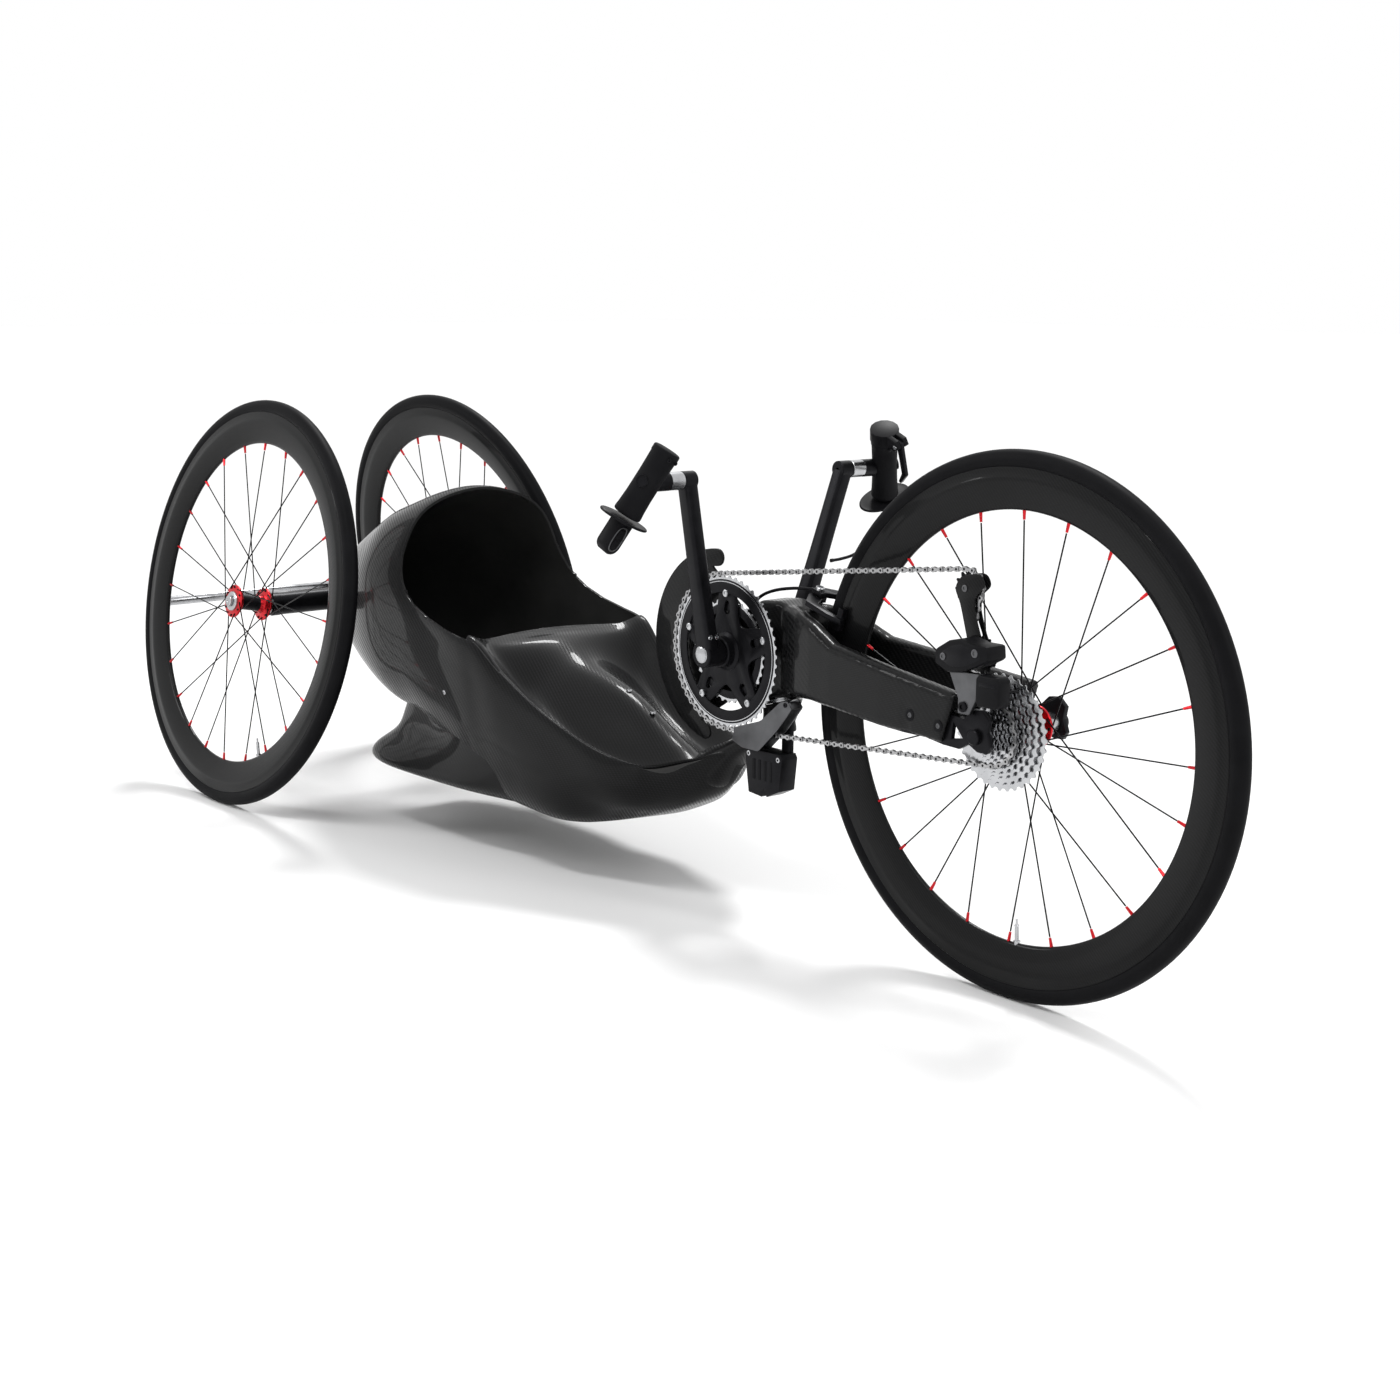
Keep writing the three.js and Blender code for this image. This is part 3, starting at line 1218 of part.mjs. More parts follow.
function batteryGeometry() {
  return plate(roundedRectangle(batteryLength / 2, batteryHeight / 2, batteryHeight / 8)
    .map(([x, z]) => [batteryRear + batteryLength / 2 + x, batteryBase + batteryHeight / 2 + z]),
  -batteryInnerY - batteryThickness, -batteryInnerY);
}

place(root, 'derailleur_knuckle', plate(knuckleOutline, -knuckleInnerY - knuckleLength, -knuckleInnerY), 'black');
place(root, 'derailleur_link', linkGeometry(), 'silver');
place(root, 'derailleur_battery', batteryGeometry(), 'black');

// Front derailleur under the unit: a motor on a bracket, and a cage round the chain's lower run

// Height of the unit's sloping underside, where the bracket bolts on.
function unitUnderside(x) {
  const [[rearShare, lowShare], [frontShare, highShare]] = [unitShares[1], unitShares[2]];
  const share = ((x - unitRearX) / unitLength - rearShare) / (frontShare - rearShare);
  return neckTopZ + (lowShare + (highShare - lowShare) * share) * unitHeight;
}

const frontMotorShares = [
  [0, 0.8], [0.1, 0.04], [0.46, 0], [0.52, 0.2], [0.6, 0.02], [0.93, 0.2], [1, 0.9], [0.95, 1], [0.08, 1],
];
const frontBracketShares = [0.67, 0.89];

function frontMotorGeometry() {
  const outline = sized(frontMotorShares, frontMotorX, frontMotorBase, frontMotorLength, frontMotorHeight);
  const motor = plate(outline, -frontMotorOuterY, frontMotorThickness - frontMotorOuterY);
  const foot = frontBracketShares.map((share) => frontMotorX + share * frontMotorLength);
  const waist = frontMotorBase + frontMotorHeight / 2;
  const innerY = frontMotorOuterY - frontMotorThickness - seatGap;
  const bracket = plate([
    [foot[0], waist], [foot[1], waist], [foot[1], unitUnderside(foot[1]) - seatGap],
    [foot[0], unitUnderside(foot[0]) - seatGap],
  ], -innerY - frontBracketThickness, -innerY);
  return joined(motor, bracket);
}

// The cage's side view: its flat underside slides on the motor's top.
const frontCageShares = [
  [0.17, 0], [0.45, 0], [0.74, 0.41], [1, 0.88], [0.93, 1], [0.81, 0.96], [0.48, 0.55], [0.03, 0.33], [0, 0.09],
];

function frontCageGeometry() {
  const base = frontMotorBase + frontMotorHeight + seatGap;
  const outline = sized(frontCageShares, frontCageX, base, frontCageLength, frontCageHeight);
  const faces = [-outerRingY - frontCageHalfGap - frontCageThickness, -outerRingY + frontCageHalfGap];
  const blades = faces.map((from) => plate(outline, from, from + frontCageThickness));
  const across = faces.map((from) => from + frontCageThickness / 2);
  const bridges = [[0.3, 0], [0.9, 0.86]].map(([along, up]) => {
    const [x, z] = [frontCageX + along * frontCageLength, base + up * frontCageHeight];
    const [farX, farZ] = [x + frontCageBridge, z + frontCageBridge];
    return plate([[x, z], [farX, z], [farX, farZ], [x, farZ]], ...across);
  });
  return joined(...blades, ...bridges);
}

place(root, 'front_derailleur_cage', frontCageGeometry(), 'silver');
place(root, 'front_derailleur_motor', frontMotorGeometry(), 'black');

// The origin lies under the middle of the whole object's box
root.position.x = -new THREE.Box3().setFromObject(root).getCenter(new THREE.Vector3()).x;

export default root;
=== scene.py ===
"""Looks for the handcycle: smooth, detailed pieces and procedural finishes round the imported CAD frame.

+X points towards the front wheel, +Y to the rider's left and +Z up. Pieces are drawn in millimetres, with
the rear axle at X = 0 on the floor plane Z = 0, and Piece.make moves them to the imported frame, in metres.
Places come from the frame's joints and node boxes, and sizes are the fields of each sub-assembly's class.
"""

import json
import logging
import math
from collections.abc import Sequence
from dataclasses import dataclass, field
from enum import Enum

import bmesh
import bpy
from mathutils import Matrix, Vector


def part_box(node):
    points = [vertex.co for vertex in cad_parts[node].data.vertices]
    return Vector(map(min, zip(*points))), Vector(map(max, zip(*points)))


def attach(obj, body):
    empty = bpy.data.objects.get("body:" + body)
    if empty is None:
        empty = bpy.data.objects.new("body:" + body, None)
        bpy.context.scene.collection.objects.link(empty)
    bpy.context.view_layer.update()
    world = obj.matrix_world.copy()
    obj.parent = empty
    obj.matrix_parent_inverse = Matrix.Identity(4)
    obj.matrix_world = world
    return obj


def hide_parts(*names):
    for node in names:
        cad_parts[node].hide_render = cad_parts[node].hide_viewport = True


MM = 0.001
FULL_TURN = 2 * math.pi
AXIS_X = Vector((1, 0, 0))
AXIS_Y = Vector((0, 1, 0))
AXIS_Z = Vector((0, 0, 1))
HERE = Matrix.Identity(4)
SPUN_TO_Z = Matrix.Rotation(math.pi / 2, 4, "X")
SEAT_GAP = 0.3
CHAIN_PITCH = 12.7

Pair = tuple[float, float]
Triple = tuple[float, float, float]
Station = tuple[float, tuple[Pair, ...]]
Shape = bmesh.types.BMesh

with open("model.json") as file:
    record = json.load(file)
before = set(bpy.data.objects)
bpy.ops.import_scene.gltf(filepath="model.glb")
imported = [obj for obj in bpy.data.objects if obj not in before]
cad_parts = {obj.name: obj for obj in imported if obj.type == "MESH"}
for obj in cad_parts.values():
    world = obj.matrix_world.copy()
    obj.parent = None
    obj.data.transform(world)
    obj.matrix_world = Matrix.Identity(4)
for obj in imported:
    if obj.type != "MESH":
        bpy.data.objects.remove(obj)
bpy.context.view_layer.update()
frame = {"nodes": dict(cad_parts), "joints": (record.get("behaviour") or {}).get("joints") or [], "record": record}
JOINTS = {joint["name"]: joint for joint in frame["joints"]}
TO_FRAME = Matrix.Translation((JOINTS["rear_left_wheel_spin"]["pos_m"][0], 0, 0)) @ Matrix.Scale(MM, 4)
TO_DRAWING = TO_FRAME.inverted()
log = logging.getLogger("handcycle")


def joint_place(name: str) -> Vector:
    """Returns where a joint's pivot lies on the drawing, in millimetres."""
    return TO_DRAWING @ Vector(JOINTS[name]["pos_m"])


def body_of(node: str) -> str:
    """Returns the name of the body that a CAD node rides on."""
    return next(body for body, nodes in frame["record"]["behaviour"]["bodies"].items() if node in nodes)


def node_box(node: str) -> tuple[Vector, Vector]:
    """Returns a CAD node's lowest and highest corners on the drawing, in millimetres."""
    low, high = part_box(node)
    return TO_DRAWING @ Vector(low), TO_DRAWING @ Vector(high)


class Slot(Enum):
    """The record's material slots."""

    TYRE = "tyre"
    CARBON = "carbon"
    BLACK = "black"
    RED = "red"
    SILVER = "silver"
    GRIP = "grip"
    PLASTIC = "plastic"
    SPOKE = "spoke"
    CABLE = "cable"


class Graph:
    """A short way to wire a material's nodes."""

    def __init__(self, name: str) -> None:
        """Starts a material with one Principled shader."""
        self.material = bpy.data.materials.new(name)
        self.material.use_nodes = True
        self.tree = self.material.node_tree
        self.shader = self.tree.nodes["Principled BSDF"]
        self.place = self.add("ShaderNodeTexCoord").outputs["Object"]

    def add(self, kind: str, **settings: object) -> bpy.types.Node:
        """Adds a node and sets its properties."""
        node = self.tree.nodes.new(kind)
        for key, value in settings.items():
            setattr(node, key, value)
        return node

    def math(self, operation: str, first: object, second: object = 0.0) -> bpy.types.NodeSocket:
        """Adds a Math node on two sockets or numbers, and returns its output."""
        node = self.add("ShaderNodeMath", operation=operation)
        for socket, value in zip(node.inputs, (first, second)):
            if isinstance(value, bpy.types.NodeSocket):
                self.tree.links.new(value, socket)
            else:
                socket.default_value = value
        return node.outputs[0]

    def noise(self, scale: float, detail: float = 3.0) -> bpy.types.NodeSocket:
        """Adds a noise pattern on the object's own place."""
        node = self.add("ShaderNodeTexNoise")
        node.inputs["Scale"].default_value = scale
        node.inputs["Detail"].default_value = detail
        self.tree.links.new(self.place, node.inputs["Vector"])
        return node.outputs["Fac"]

    def range(self, value: bpy.types.NodeSocket, low: float, high: float) -> bpy.types.NodeSocket:
        """Maps 0 to 1 onto low to high."""
        node = self.add("ShaderNodeMapRange")
        node.inputs["To Min"].default_value = low
        node.inputs["To Max"].default_value = high
        self.tree.links.new(value, node.inputs["Value"])
        return node.outputs[0]

    def ramp(self, value: bpy.types.NodeSocket, dark: Triple, light: Triple) -> None:
        """Mixes two colours by a value and joins the result to the shader's base colour."""
        node = self.add("ShaderNodeMix", data_type="RGBA")
        node.inputs["A"].default_value = (*dark, 1)
        node.inputs["B"].default_value = (*light, 1)
        self.tree.links.new(value, node.inputs["Factor"])
        self.tree.links.new(node.outputs["Result"], self.shader.inputs["Base Color"])

    def bump(self, height: bpy.types.NodeSocket, distance: float, strength: float) -> None:
        """Joins a bump to the shader's normal.

        Args:
            height: The pattern.
            distance: How deep the pattern is, in metres.
            strength: How much of it shows.
        """
        node = self.add("ShaderNodeBump")
        node.inputs["Distance"].default_value = distance
        node.inputs["Strength"].default_value = strength
        self.tree.links.new(height, node.inputs["Height"])
        self.tree.links.new(node.outputs["Normal"], self.shader.inputs["Normal"])

    def rough(self, value: bpy.types.NodeSocket) -> None:
        """Joins a value to the shader's roughness."""
        self.tree.links.new(value, self.shader.inputs["Roughness"])

    def settings(self, **values: float) -> None:
        """Sets the shader's plain numbers, with spaces in their names written as underscores."""
        for name, value in values.items():
            self.shader.inputs[name.replace("_", " ")].default_value = value


@dataclass(frozen=True)
class CarbonWeave:
    """Clear-coated twill: two threads over and two under, stepping sideways by one in each row. The crown of each
    thread, and each thread that lies over, is painted lighter: a painted sheen.
    """

    name: str = "clear-coated carbon weave"
    thread: float = 2.2 * MM
    dark: Triple = (0.001, 0.001, 0.001)
    # light is the colour of the painted sheen at the threads' crowns.
    light: Triple = (0.01, 0.0102, 0.011)
    relief: float = 0.12 * MM
    side_slant: float = 0.83
    rise_slant: float = 0.71

    def build(self) -> bpy.types.Material:
        """Makes the material."""
        graph = Graph(self.name)
        split = graph.add("ShaderNodeSeparateXYZ")
        graph.tree.links.new(graph.place, split.inputs[0])
        x, y, z = split.outputs
        counts = []
        arches = []
        for place, slant in ((x, self.side_slant), (z, self.rise_slant)):
            slanted = graph.math("ADD", place, graph.math("MULTIPLY", y, slant))
            threads = graph.math("DIVIDE", slanted, self.thread)
            counts.append(graph.math("FLOOR", threads))
            arches.append(graph.math("SINE", graph.math("MULTIPLY", graph.math("FRACT", threads), math.pi)))
        step = graph.math("FLOORED_MODULO", graph.math("ADD", *counts), 4.0)
        over = graph.math("LESS_THAN", step, 1.5)
        under = graph.math("SUBTRACT", 1.0, over)
        across, upward = arches
        height = graph.math("ADD", graph.math("MULTIPLY", over, upward),
                            graph.math("MULTIPLY", under, across))
        # Painted sheen: each thread is lighter along its crown than at its edges, and the threads that lie over
        # are lighter than those under them.
        painted_sheen = graph.math("MULTIPLY", height, graph.range(over, 0.35, 1.0))
        painted_sheen = graph.math("MULTIPLY", painted_sheen, graph.range(graph.noise(9.0), 0.5, 1.4))
        graph.ramp(painted_sheen, self.dark, self.light)
        graph.rough(graph.range(over, 0.3, 0.55))
        graph.bump(height, self.relief, 0.3)
        graph.settings(Coat_Weight=0.5, Coat_Roughness=0.04, Coat_IOR=1.2, Metallic=0.0,
                       Specular_IOR_Level=0.08)
        return graph.material


@dataclass(frozen=True)
class Mottled:
    """A finish whose shade and sheen follow one soft cloud, over a fine grain; both as scale and detail."""

    name: str
    dark: Triple
    light: Triple
    roughness: Pair
    cloud: Pair
    grain: Pair
    relief: float
    strength: float
    shader: tuple[tuple[str, float], ...]

    def build(self) -> bpy.types.Material:
        """Makes the material."""
        graph = Graph(self.name)
        cloud = graph.noise(*self.cloud)
        graph.ramp(cloud, self.dark, self.light)
        graph.rough(graph.range(cloud, *self.roughness))
        graph.bump(graph.noise(*self.grain), self.relief, self.strength)
        graph.settings(**dict(self.shader))
        return graph.material


def bare_carbon(name: str, dark: Triple, light: Triple, roughness: Pair) -> Mottled:
    """Returns smooth carbon without a weave, with a faint cloud in its shade."""
    coat = (("Coat_Weight", 0.5), ("Coat_Roughness", 0.06), ("Coat_IOR", 1.2), ("Specular_IOR_Level", 0.08))
    return Mottled(name, dark, light, roughness, (14.0, 5.0), (160.0, 3.0), 0.02 * MM, 0.3, coat)


def rubber(name: str, dark: Triple, light: Triple, roughness: Pair, grain: float, relief: float) -> Mottled:
    """Returns matt rubber or plastic with a fine grain."""
    return Mottled(name, dark, light, roughness, (30.0, 4.0), (grain, 2.0), relief, 0.5,
                   (("Specular_IOR_Level", 0.05),))


def metal(name: str, dark: Triple, light: Triple, roughness: Pair, metallic: float = 1.0,
          specular: float = 0.5) -> Mottled:
    """Returns turned, anodised or polished metal, with uneven wear in its sheen."""
    return Mottled(name, dark, light, roughness, (42.0, 6.0), (220.0, 4.0), 0.02 * MM, 0.4,
                   (("Metallic", metallic), ("Specular_IOR_Level", specular)))


@dataclass(frozen=True)
class Backdrop:
    """The floor: plain white, which the camera and mirror-like surfaces see as white."""

    name: str
    color: Triple = (0.93, 0.93, 0.93)

    def build(self) -> bpy.types.Material:
        """Makes the material."""
        graph = Graph(self.name)
        graph.ramp(graph.noise(0.4), self.color, self.color)
        graph.settings(Roughness=0.9)
        return graph.material


class Finish(Enum):
    """Every finish on the machine."""

    # Both weaves carry the painted sheen of CarbonWeave.
    WEAVE = CarbonWeave()
    FINE_WEAVE = CarbonWeave("fine carbon weave", 1.3 * MM, relief=0.06 * MM)
    # Painted light: the inside wall is several times lighter than the weave outside, standing in for the light
    # that falls into the cockpit.
    INSIDE = bare_carbon("inside carbon painted lighter as lit", (0.016, 0.016, 0.016), (0.036, 0.036, 0.035), (0.4, 0.55))
    TYRE = rubber("tyre rubber", (0.0025, 0.0025, 0.003), (0.008, 0.008, 0.009), (0.42, 0.6), 900.0,
                  0.08 * MM)
    GRIP = rubber("grip rubber", (0.004, 0.004, 0.005), (0.011, 0.011, 0.012), (0.5, 0.72), 500.0, 0.15 * MM)
    PLASTIC = rubber("moulded plastic", (0.004, 0.004, 0.005), (0.012, 0.012, 0.013), (0.3, 0.48), 1400.0,
                     0.03 * MM)
    ANODISED = metal("black anodised", (0.004, 0.004, 0.005), (0.016, 0.016, 0.018), (0.24, 0.4), 0.5, 0.08)
    RED = metal("red anodised", (0.42, 0.008, 0.014), (0.62, 0.02, 0.028), (0.2, 0.34), 0.85)
    SILVER = metal("bright steel", (0.3, 0.305, 0.315), (0.56, 0.565, 0.58), (0.14, 0.32))
    SATIN = metal("satin steel", (0.05, 0.05, 0.053), (0.14, 0.142, 0.148), (0.3, 0.48))
    CHAIN = metal("plated chain", (0.2, 0.2, 0.205), (0.46, 0.46, 0.465), (0.18, 0.42))
    SPOKE = metal("black spoke", (0.003, 0.003, 0.004), (0.01, 0.01, 0.011), (0.25, 0.4), 0.3, 0.06)

    @property
    def material(self) -> bpy.types.Material:
        """The finish's material, made once."""
        return bpy.data.materials.get(self.value.name) or self.value.build()


def mesh_of(shape: Shape, name: str) -> bpy.types.Mesh:
    """Returns a shape as a mesh. The shape is used up."""
    mesh = bpy.data.meshes.new(name)
    shape.to_mesh(mesh)
    shape.free()
    return mesh


def linked(name: str, data: bpy.types.ID) -> bpy.types.Object:
    """Makes an object of some data in the scene."""
    obj = bpy.data.objects.new(name, data)
    bpy.context.scene.collection.objects.link(obj)
    return obj


@dataclass
class Piece:
    """One object of the visual model and what it stands for."""

    name: str
    body: str
    slot: Slot
    finishes: tuple[Finish, ...]
    replaces: tuple[str, ...] = ()
    sharp: float = 33.0

    def make(self, shape: Shape) -> bpy.types.Object:
        """Turns a finished shape, which is used up, into an object that rides on its body."""
        bmesh.ops.remove_doubles(shape, verts=shape.verts, dist=0.005)
        bmesh.ops.recalc_face_normals(shape, faces=shape.faces)
        bmesh.ops.transform(shape, matrix=TO_FRAME, verts=shape.verts)
        for face in shape.faces:
            face.smooth = True
        limit = math.radians(self.sharp)
        for edge in shape.edges:
            edge.smooth = not (edge.is_manifold and edge.calc_face_angle(0.0) > limit)
        obj = linked(self.name, mesh_of(shape, self.name))
        for finish in self.finishes:
            obj.data.materials.append(finish.material)
        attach(obj, self.body)
        if self.replaces:
            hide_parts(*self.replaces)
        log.info("%s rides on %s", self.name, self.body)
        return obj


def painted(shape: Shape, before: set[bmesh.types.BMFace], material: int) -> list[bmesh.types.BMFace]:
    """Gives every face that wasn't there before a finish, and returns these faces."""
    new = [face for face in shape.faces if face not in before]
    for face in new:
        face.material_index = material
    return new


def aimed(axis: Vector, start: Vector = AXIS_Y) -> Matrix:
    """Returns the turn from the Y axis, or another start, to an axis."""
    return start.rotation_difference(axis).to_matrix().to_4x4()


def across_at(place: Vector) -> Matrix:
    """Returns the move that puts a piece round the Y axis at a place, and leaves its Y as drawn."""
    return Matrix.Translation((place.x, 0, place.z))


def lathe(shape: Shape, profile: Sequence[Pair], steps: int, matrix: Matrix = HERE,
          material: int = 0) -> None:
    """Spins a profile about the Y axis.

    Args:
        shape: Where the surface goes.
        profile: Points as radius and place along the axis.
        steps: How many faces go round.
        matrix: Where the result is put.
        material: The index of its finish.
    """
    before = set(shape.faces)
    verts = [shape.verts.new((radius, along, 0)) for radius, along in profile]
    edges = [shape.edges.new(pair) for pair in zip(verts, verts[1:])]
    bmesh.ops.spin(shape, geom=verts + edges, cent=(0, 0, 0), axis=AXIS_Y, angle=FULL_TURN, steps=steps,
                   use_merge=True, use_duplicate=False)
    corners = list({vert for face in painted(shape, before, material) for vert in face.verts})
    bmesh.ops.transform(shape, matrix=matrix, verts=corners)
    bmesh.ops.remove_doubles(shape, verts=corners, dist=0.01)


def bored(shape: Shape, profile: Sequence[Pair], steps: int, matrix: Matrix = HERE,
          material: int = 0) -> None:
    """Spins a profile that closes on itself, as lathe does, so that a bore is left."""
    lathe(shape, [*profile, profile[0]], steps, matrix, material)


def mirrored(profile: Sequence[Pair]) -> list[Pair]:
    """Returns a profile that runs on through its mirror image across Y = 0."""
    return [*profile, *((radius, -along) for radius, along in reversed(profile))]


def loft(shape: Shape, rings: Sequence[Sequence[Vector]], material: int = 0) -> None:
    """Bridges a row of closed rings that have the same number of points, and fills both ends."""
    before = set(shape.faces)
    loops = []
    for ring in rings:
        verts = [shape.verts.new(point) for point in ring]
        loops.append([shape.edges.new((a, b)) for a, b in zip(verts, verts[1:] + verts[:1])])
    for near, far in zip(loops, loops[1:]):
        bmesh.ops.bridge_loops(shape, edges=near + far)
    for loop in (loops[0], loops[-1]):
        bmesh.ops.edgeloop_fill(shape, edges=loop)
    painted(shape, before, material)


def bar(shape: Shape, start: Vector, end: Vector, radius: float, end_radius: float | None = None,
        segments: int = 8, material: int = 0) -> None:
    """Adds a round bar between two points.

    Args:
        shape: Where the bar goes.
        start: The middle of its first end.
        end: The middle of its second end.
        radius: Its radius at the start.
        end_radius: Its radius at the end, if that differs.
        segments: How many faces go round.
        material: The index of its finish.
    """
    before = set(shape.faces)
    along = end - start
    bmesh.ops.create_cone(shape, cap_ends=True, segments=segments, radius1=radius,
                          radius2=radius if end_radius is None else end_radius, depth=along.length,
                          matrix=Matrix.Translation((start + end) / 2) @ aimed(along, AXIS_Z))
    painted(shape, before, material)


def bolt_head(shape: Shape, place: Vector, axis: Vector, radius: float, height: float,
              material: int = 0) -> None:
    """Adds a socket-head bolt that stands on a surface.

    Args:
        shape: Where the bolt goes.
        place: The middle of the seat.
        axis: The direction that the head stands out in.
        radius: The head's radius.
        height: How far the head stands out.
        material: The index of its finish.
    """
    socket = radius / 2
    profile = [(0, height / 3), (socket, height / 3), (socket, height), (radius * 0.85, height),
               (radius, height * 0.8), (radius, -0.2), (0, -0.2)]
    lathe(shape, profile, 18, Matrix.Translation(place) @ aimed(axis), material)


def bevelled(shape: Shape, width: float, segments: int = 3, angle: float = 25.0) -> None:
    """Rounds every edge that is sharper than an angle.

    Args:
        shape: The shape to round.
        width: The width of the rounding.
        segments: How many faces go across it.
        angle: The least angle between two faces, in degrees.
    """
    limit = math.radians(angle)
    edges = [edge for edge in shape.edges if edge.is_manifold and edge.calc_face_angle(0.0) > limit]
    bmesh.ops.bevel(shape, geom=edges, offset=width, offset_type="OFFSET", segments=segments, profile=0.5,
                    affect="EDGES", material=-1, clamp_overlap=True)


def copy_of(node: str) -> Shape:
    """Returns a merged copy of a CAD node's mesh, with its flat faces joined."""
    shape = bmesh.new()
    shape.from_mesh(frame["nodes"][node].data)
    bmesh.ops.transform(shape, matrix=TO_DRAWING, verts=shape.verts)
    bmesh.ops.remove_doubles(shape, verts=shape.verts, dist=0.01)
    bmesh.ops.dissolve_limit(shape, angle_limit=math.radians(1.5), verts=shape.verts, edges=shape.edges)
    return shape


def rounded_copy(node: str, width: float, segments: int = 3, angle: float = 25.0) -> Shape:
    """Returns a copy of a CAD node with rounded edges. The sizes are those of bevelled."""
    shape = copy_of(node)
    bevelled(shape, width, segments, angle)
    return shape


def remade(node: str, voxel: float, passes: int) -> Shape:
    """Returns a CAD node's shape as a moulded one: a voxel copy whose corners are smoothed.

    Args:
        node: The CAD node.
        voxel: The size of a voxel, in millimetres.
        passes: How often the corners are smoothed.

    Returns:
        The new shape, on the drawing.
    """
    mesh = mesh_of(copy_of(node), "carrier")
    carrier = linked("carrier", mesh)
    grid = carrier.modifiers.new("grid", "REMESH")
    grid.mode = "VOXEL"
    grid.voxel_size = voxel
    soften = carrier.modifiers.new("soften", "SMOOTH")
    soften.factor = 0.5
    soften.iterations = passes
    result = bmesh.new()
    result.from_object(carrier, bpy.context.evaluated_depsgraph_get())
    bpy.data.objects.remove(carrier)
    bpy.data.meshes.remove(mesh)
    return result


def spline(points: Sequence[Vector], count: int, closed: bool = False) -> list[Vector]:
    """Returns points on a smooth centripetal curve through some points.

    Args:
        points: The points that the curve goes through.
        count: How many points come back.
        closed: Whether the curve joins its own start.

    Returns:
        Points at equal steps of the curve's own measure.
    """
    total = len(points)
    spans = total if closed else total - 1
    found = []
    for i in range(count):
        at = i * spans / (count if closed else count - 1)
        span = min(int(at), spans - 1)
        if closed:
            near = [points[(span + k - 1) % total] for k in range(4)]
        else:
            first = points[0] * 2 - points[1] if span == 0 else points[span - 1]
            last = points[-1] * 2 - points[-2] if span == spans - 1 else points[span + 2]
            near = [first, points[span], points[span + 1], last]
        found.append(centripetal(near, at - span))
    return found


def centripetal(near: Sequence[Vector], share: float) -> Vector:
    """Returns a point between the second and third of four points, on a centripetal Catmull-Rom curve."""
    knots = [0.0]
    for a, b in zip(near, near[1:]):
        knots.append(knots[-1] + max((b - a).length, 1e-6) ** 0.5)
    t = knots[1] + (knots[2] - knots[1]) * share

    def mixed(a: Vector, b: Vector, first: int, last: int) -> Vector:
        """Mixes two points by where t lies between two knots."""
        part = (t - knots[first]) / (knots[last] - knots[first])
        return a * (1 - part) + b * part

    outer = [mixed(near[i], near[i + 1], i, i + 1) for i in range(3)]
    inner = [mixed(outer[i], outer[i + 1], i, i + 2) for i in range(2)]
    return mixed(inner[0], inner[1], 1, 2)


def polar(radius: float, angle: float, y: float = 0.0) -> Vector:
    """Returns a point in the XZ plane at an angle from +X towards +Z, in radians."""
    return Vector((radius * math.cos(angle), y, radius * math.sin(angle)))


def circle(centre: Vector, radius: float, count: int) -> list[Vector]:
    """Returns points round a circle in the XZ plane."""
    return [centre + polar(radius, FULL_TURN * i / count) for i in range(count)]


def flat(points: Sequence[Pair]) -> list[Vector]:
    """Returns points of the XZ plane."""
    return [Vector((x, 0, z)) for x, z in points]


def block(left: float, right: float, low: float, high: float) -> list[Vector]:
    """Returns the outline of a rectangle in the XZ plane."""
    return flat(((left, low), (right, low), (right, high), (left, high)))


def rounded_power(angle: float, across: float, upward: float) -> Pair:
    """Returns the cosine and sine of an angle, each raised to a power with its sign kept."""
    c, s = math.cos(angle), math.sin(angle)
    return math.copysign(abs(c) ** across, c), math.copysign(abs(s) ** upward, s)


def merge(shape: Shape, part: Shape, matrix: Matrix, material: int = 0) -> None:
    """Moves a part, gives it a finish and adds it to a shape. The part is used up."""
    bmesh.ops.transform(part, matrix=matrix, verts=part.verts)
    for face in part.faces:
        face.material_index = material
    carrier = mesh_of(part, "carrier")
    shape.from_mesh(carrier)
    bpy.data.meshes.remove(carrier)


def plate(shape: Shape, outline: Sequence[Vector], y_from: float, y_to: float,
          holes: Sequence[Sequence[Vector]] = (), material: int = 0, rounding: float = 0.0,
          matrix: Matrix = HERE) -> None:
    """Adds a flat plate that stands in the XZ plane.

    Args:
        shape: Where the plate goes.
        outline: Its outline.
        y_from: One face's place along Y.
        y_to: The other face's place along Y.
        holes: Outlines of its holes.
        material: The index of its finish.
        rounding: The width of its rounded edges.
        matrix: Where the plate is put.
    """
    part = bmesh.new()
    for ring in (outline, *holes):
        verts = [part.verts.new((point.x, y_from, point.z)) for point in ring]
        for pair in zip(verts, verts[1:] + verts[:1]):
            part.edges.new(pair)
    bmesh.ops.triangle_fill(part, use_beauty=True, use_dissolve=False, edges=part.edges[:])
    made = bmesh.ops.extrude_face_region(part, geom=part.faces[:])
    moved = [item for item in made["geom"] if isinstance(item, bmesh.types.BMVert)]
    bmesh.ops.translate(part, vec=(0, y_to - y_from, 0), verts=moved)
    bmesh.ops.recalc_face_normals(part, faces=part.faces)
    if rounding:
        bmesh.ops.dissolve_limit(part, angle_limit=math.radians(1), verts=part.verts, edges=part.edges)
        bevelled(part, rounding, 2, 40)
    merge(shape, part, matrix, material)


def tube(shape: Shape, route: Sequence[Vector], radius: float, sides: int, material: int = 0) -> None:
    """Adds a round tube along a route, its rings square to the route.

    Args:
        shape: Where the tube goes.
        route: The points of its middle line.
        radius: Its radius.
        sides: How many faces go round it.
        material: The index of its finish.
    """
    rings = []
    side = AXIS_Y.cross(route[1] - route[0]).normalized()
    for i, point in enumerate(route):
        along = (route[min(i + 1, len(route) - 1)] - route[max(i - 1, 0)]).normalized()
        side = (side - along * side.dot(along)).normalized()
        up = along.cross(side)
        turns = [FULL_TURN * k / sides for k in range(sides)]
        rings.append([point + (side * math.cos(turn) + up * math.sin(turn)) * radius for turn in turns])
    loft(shape, rings, material)


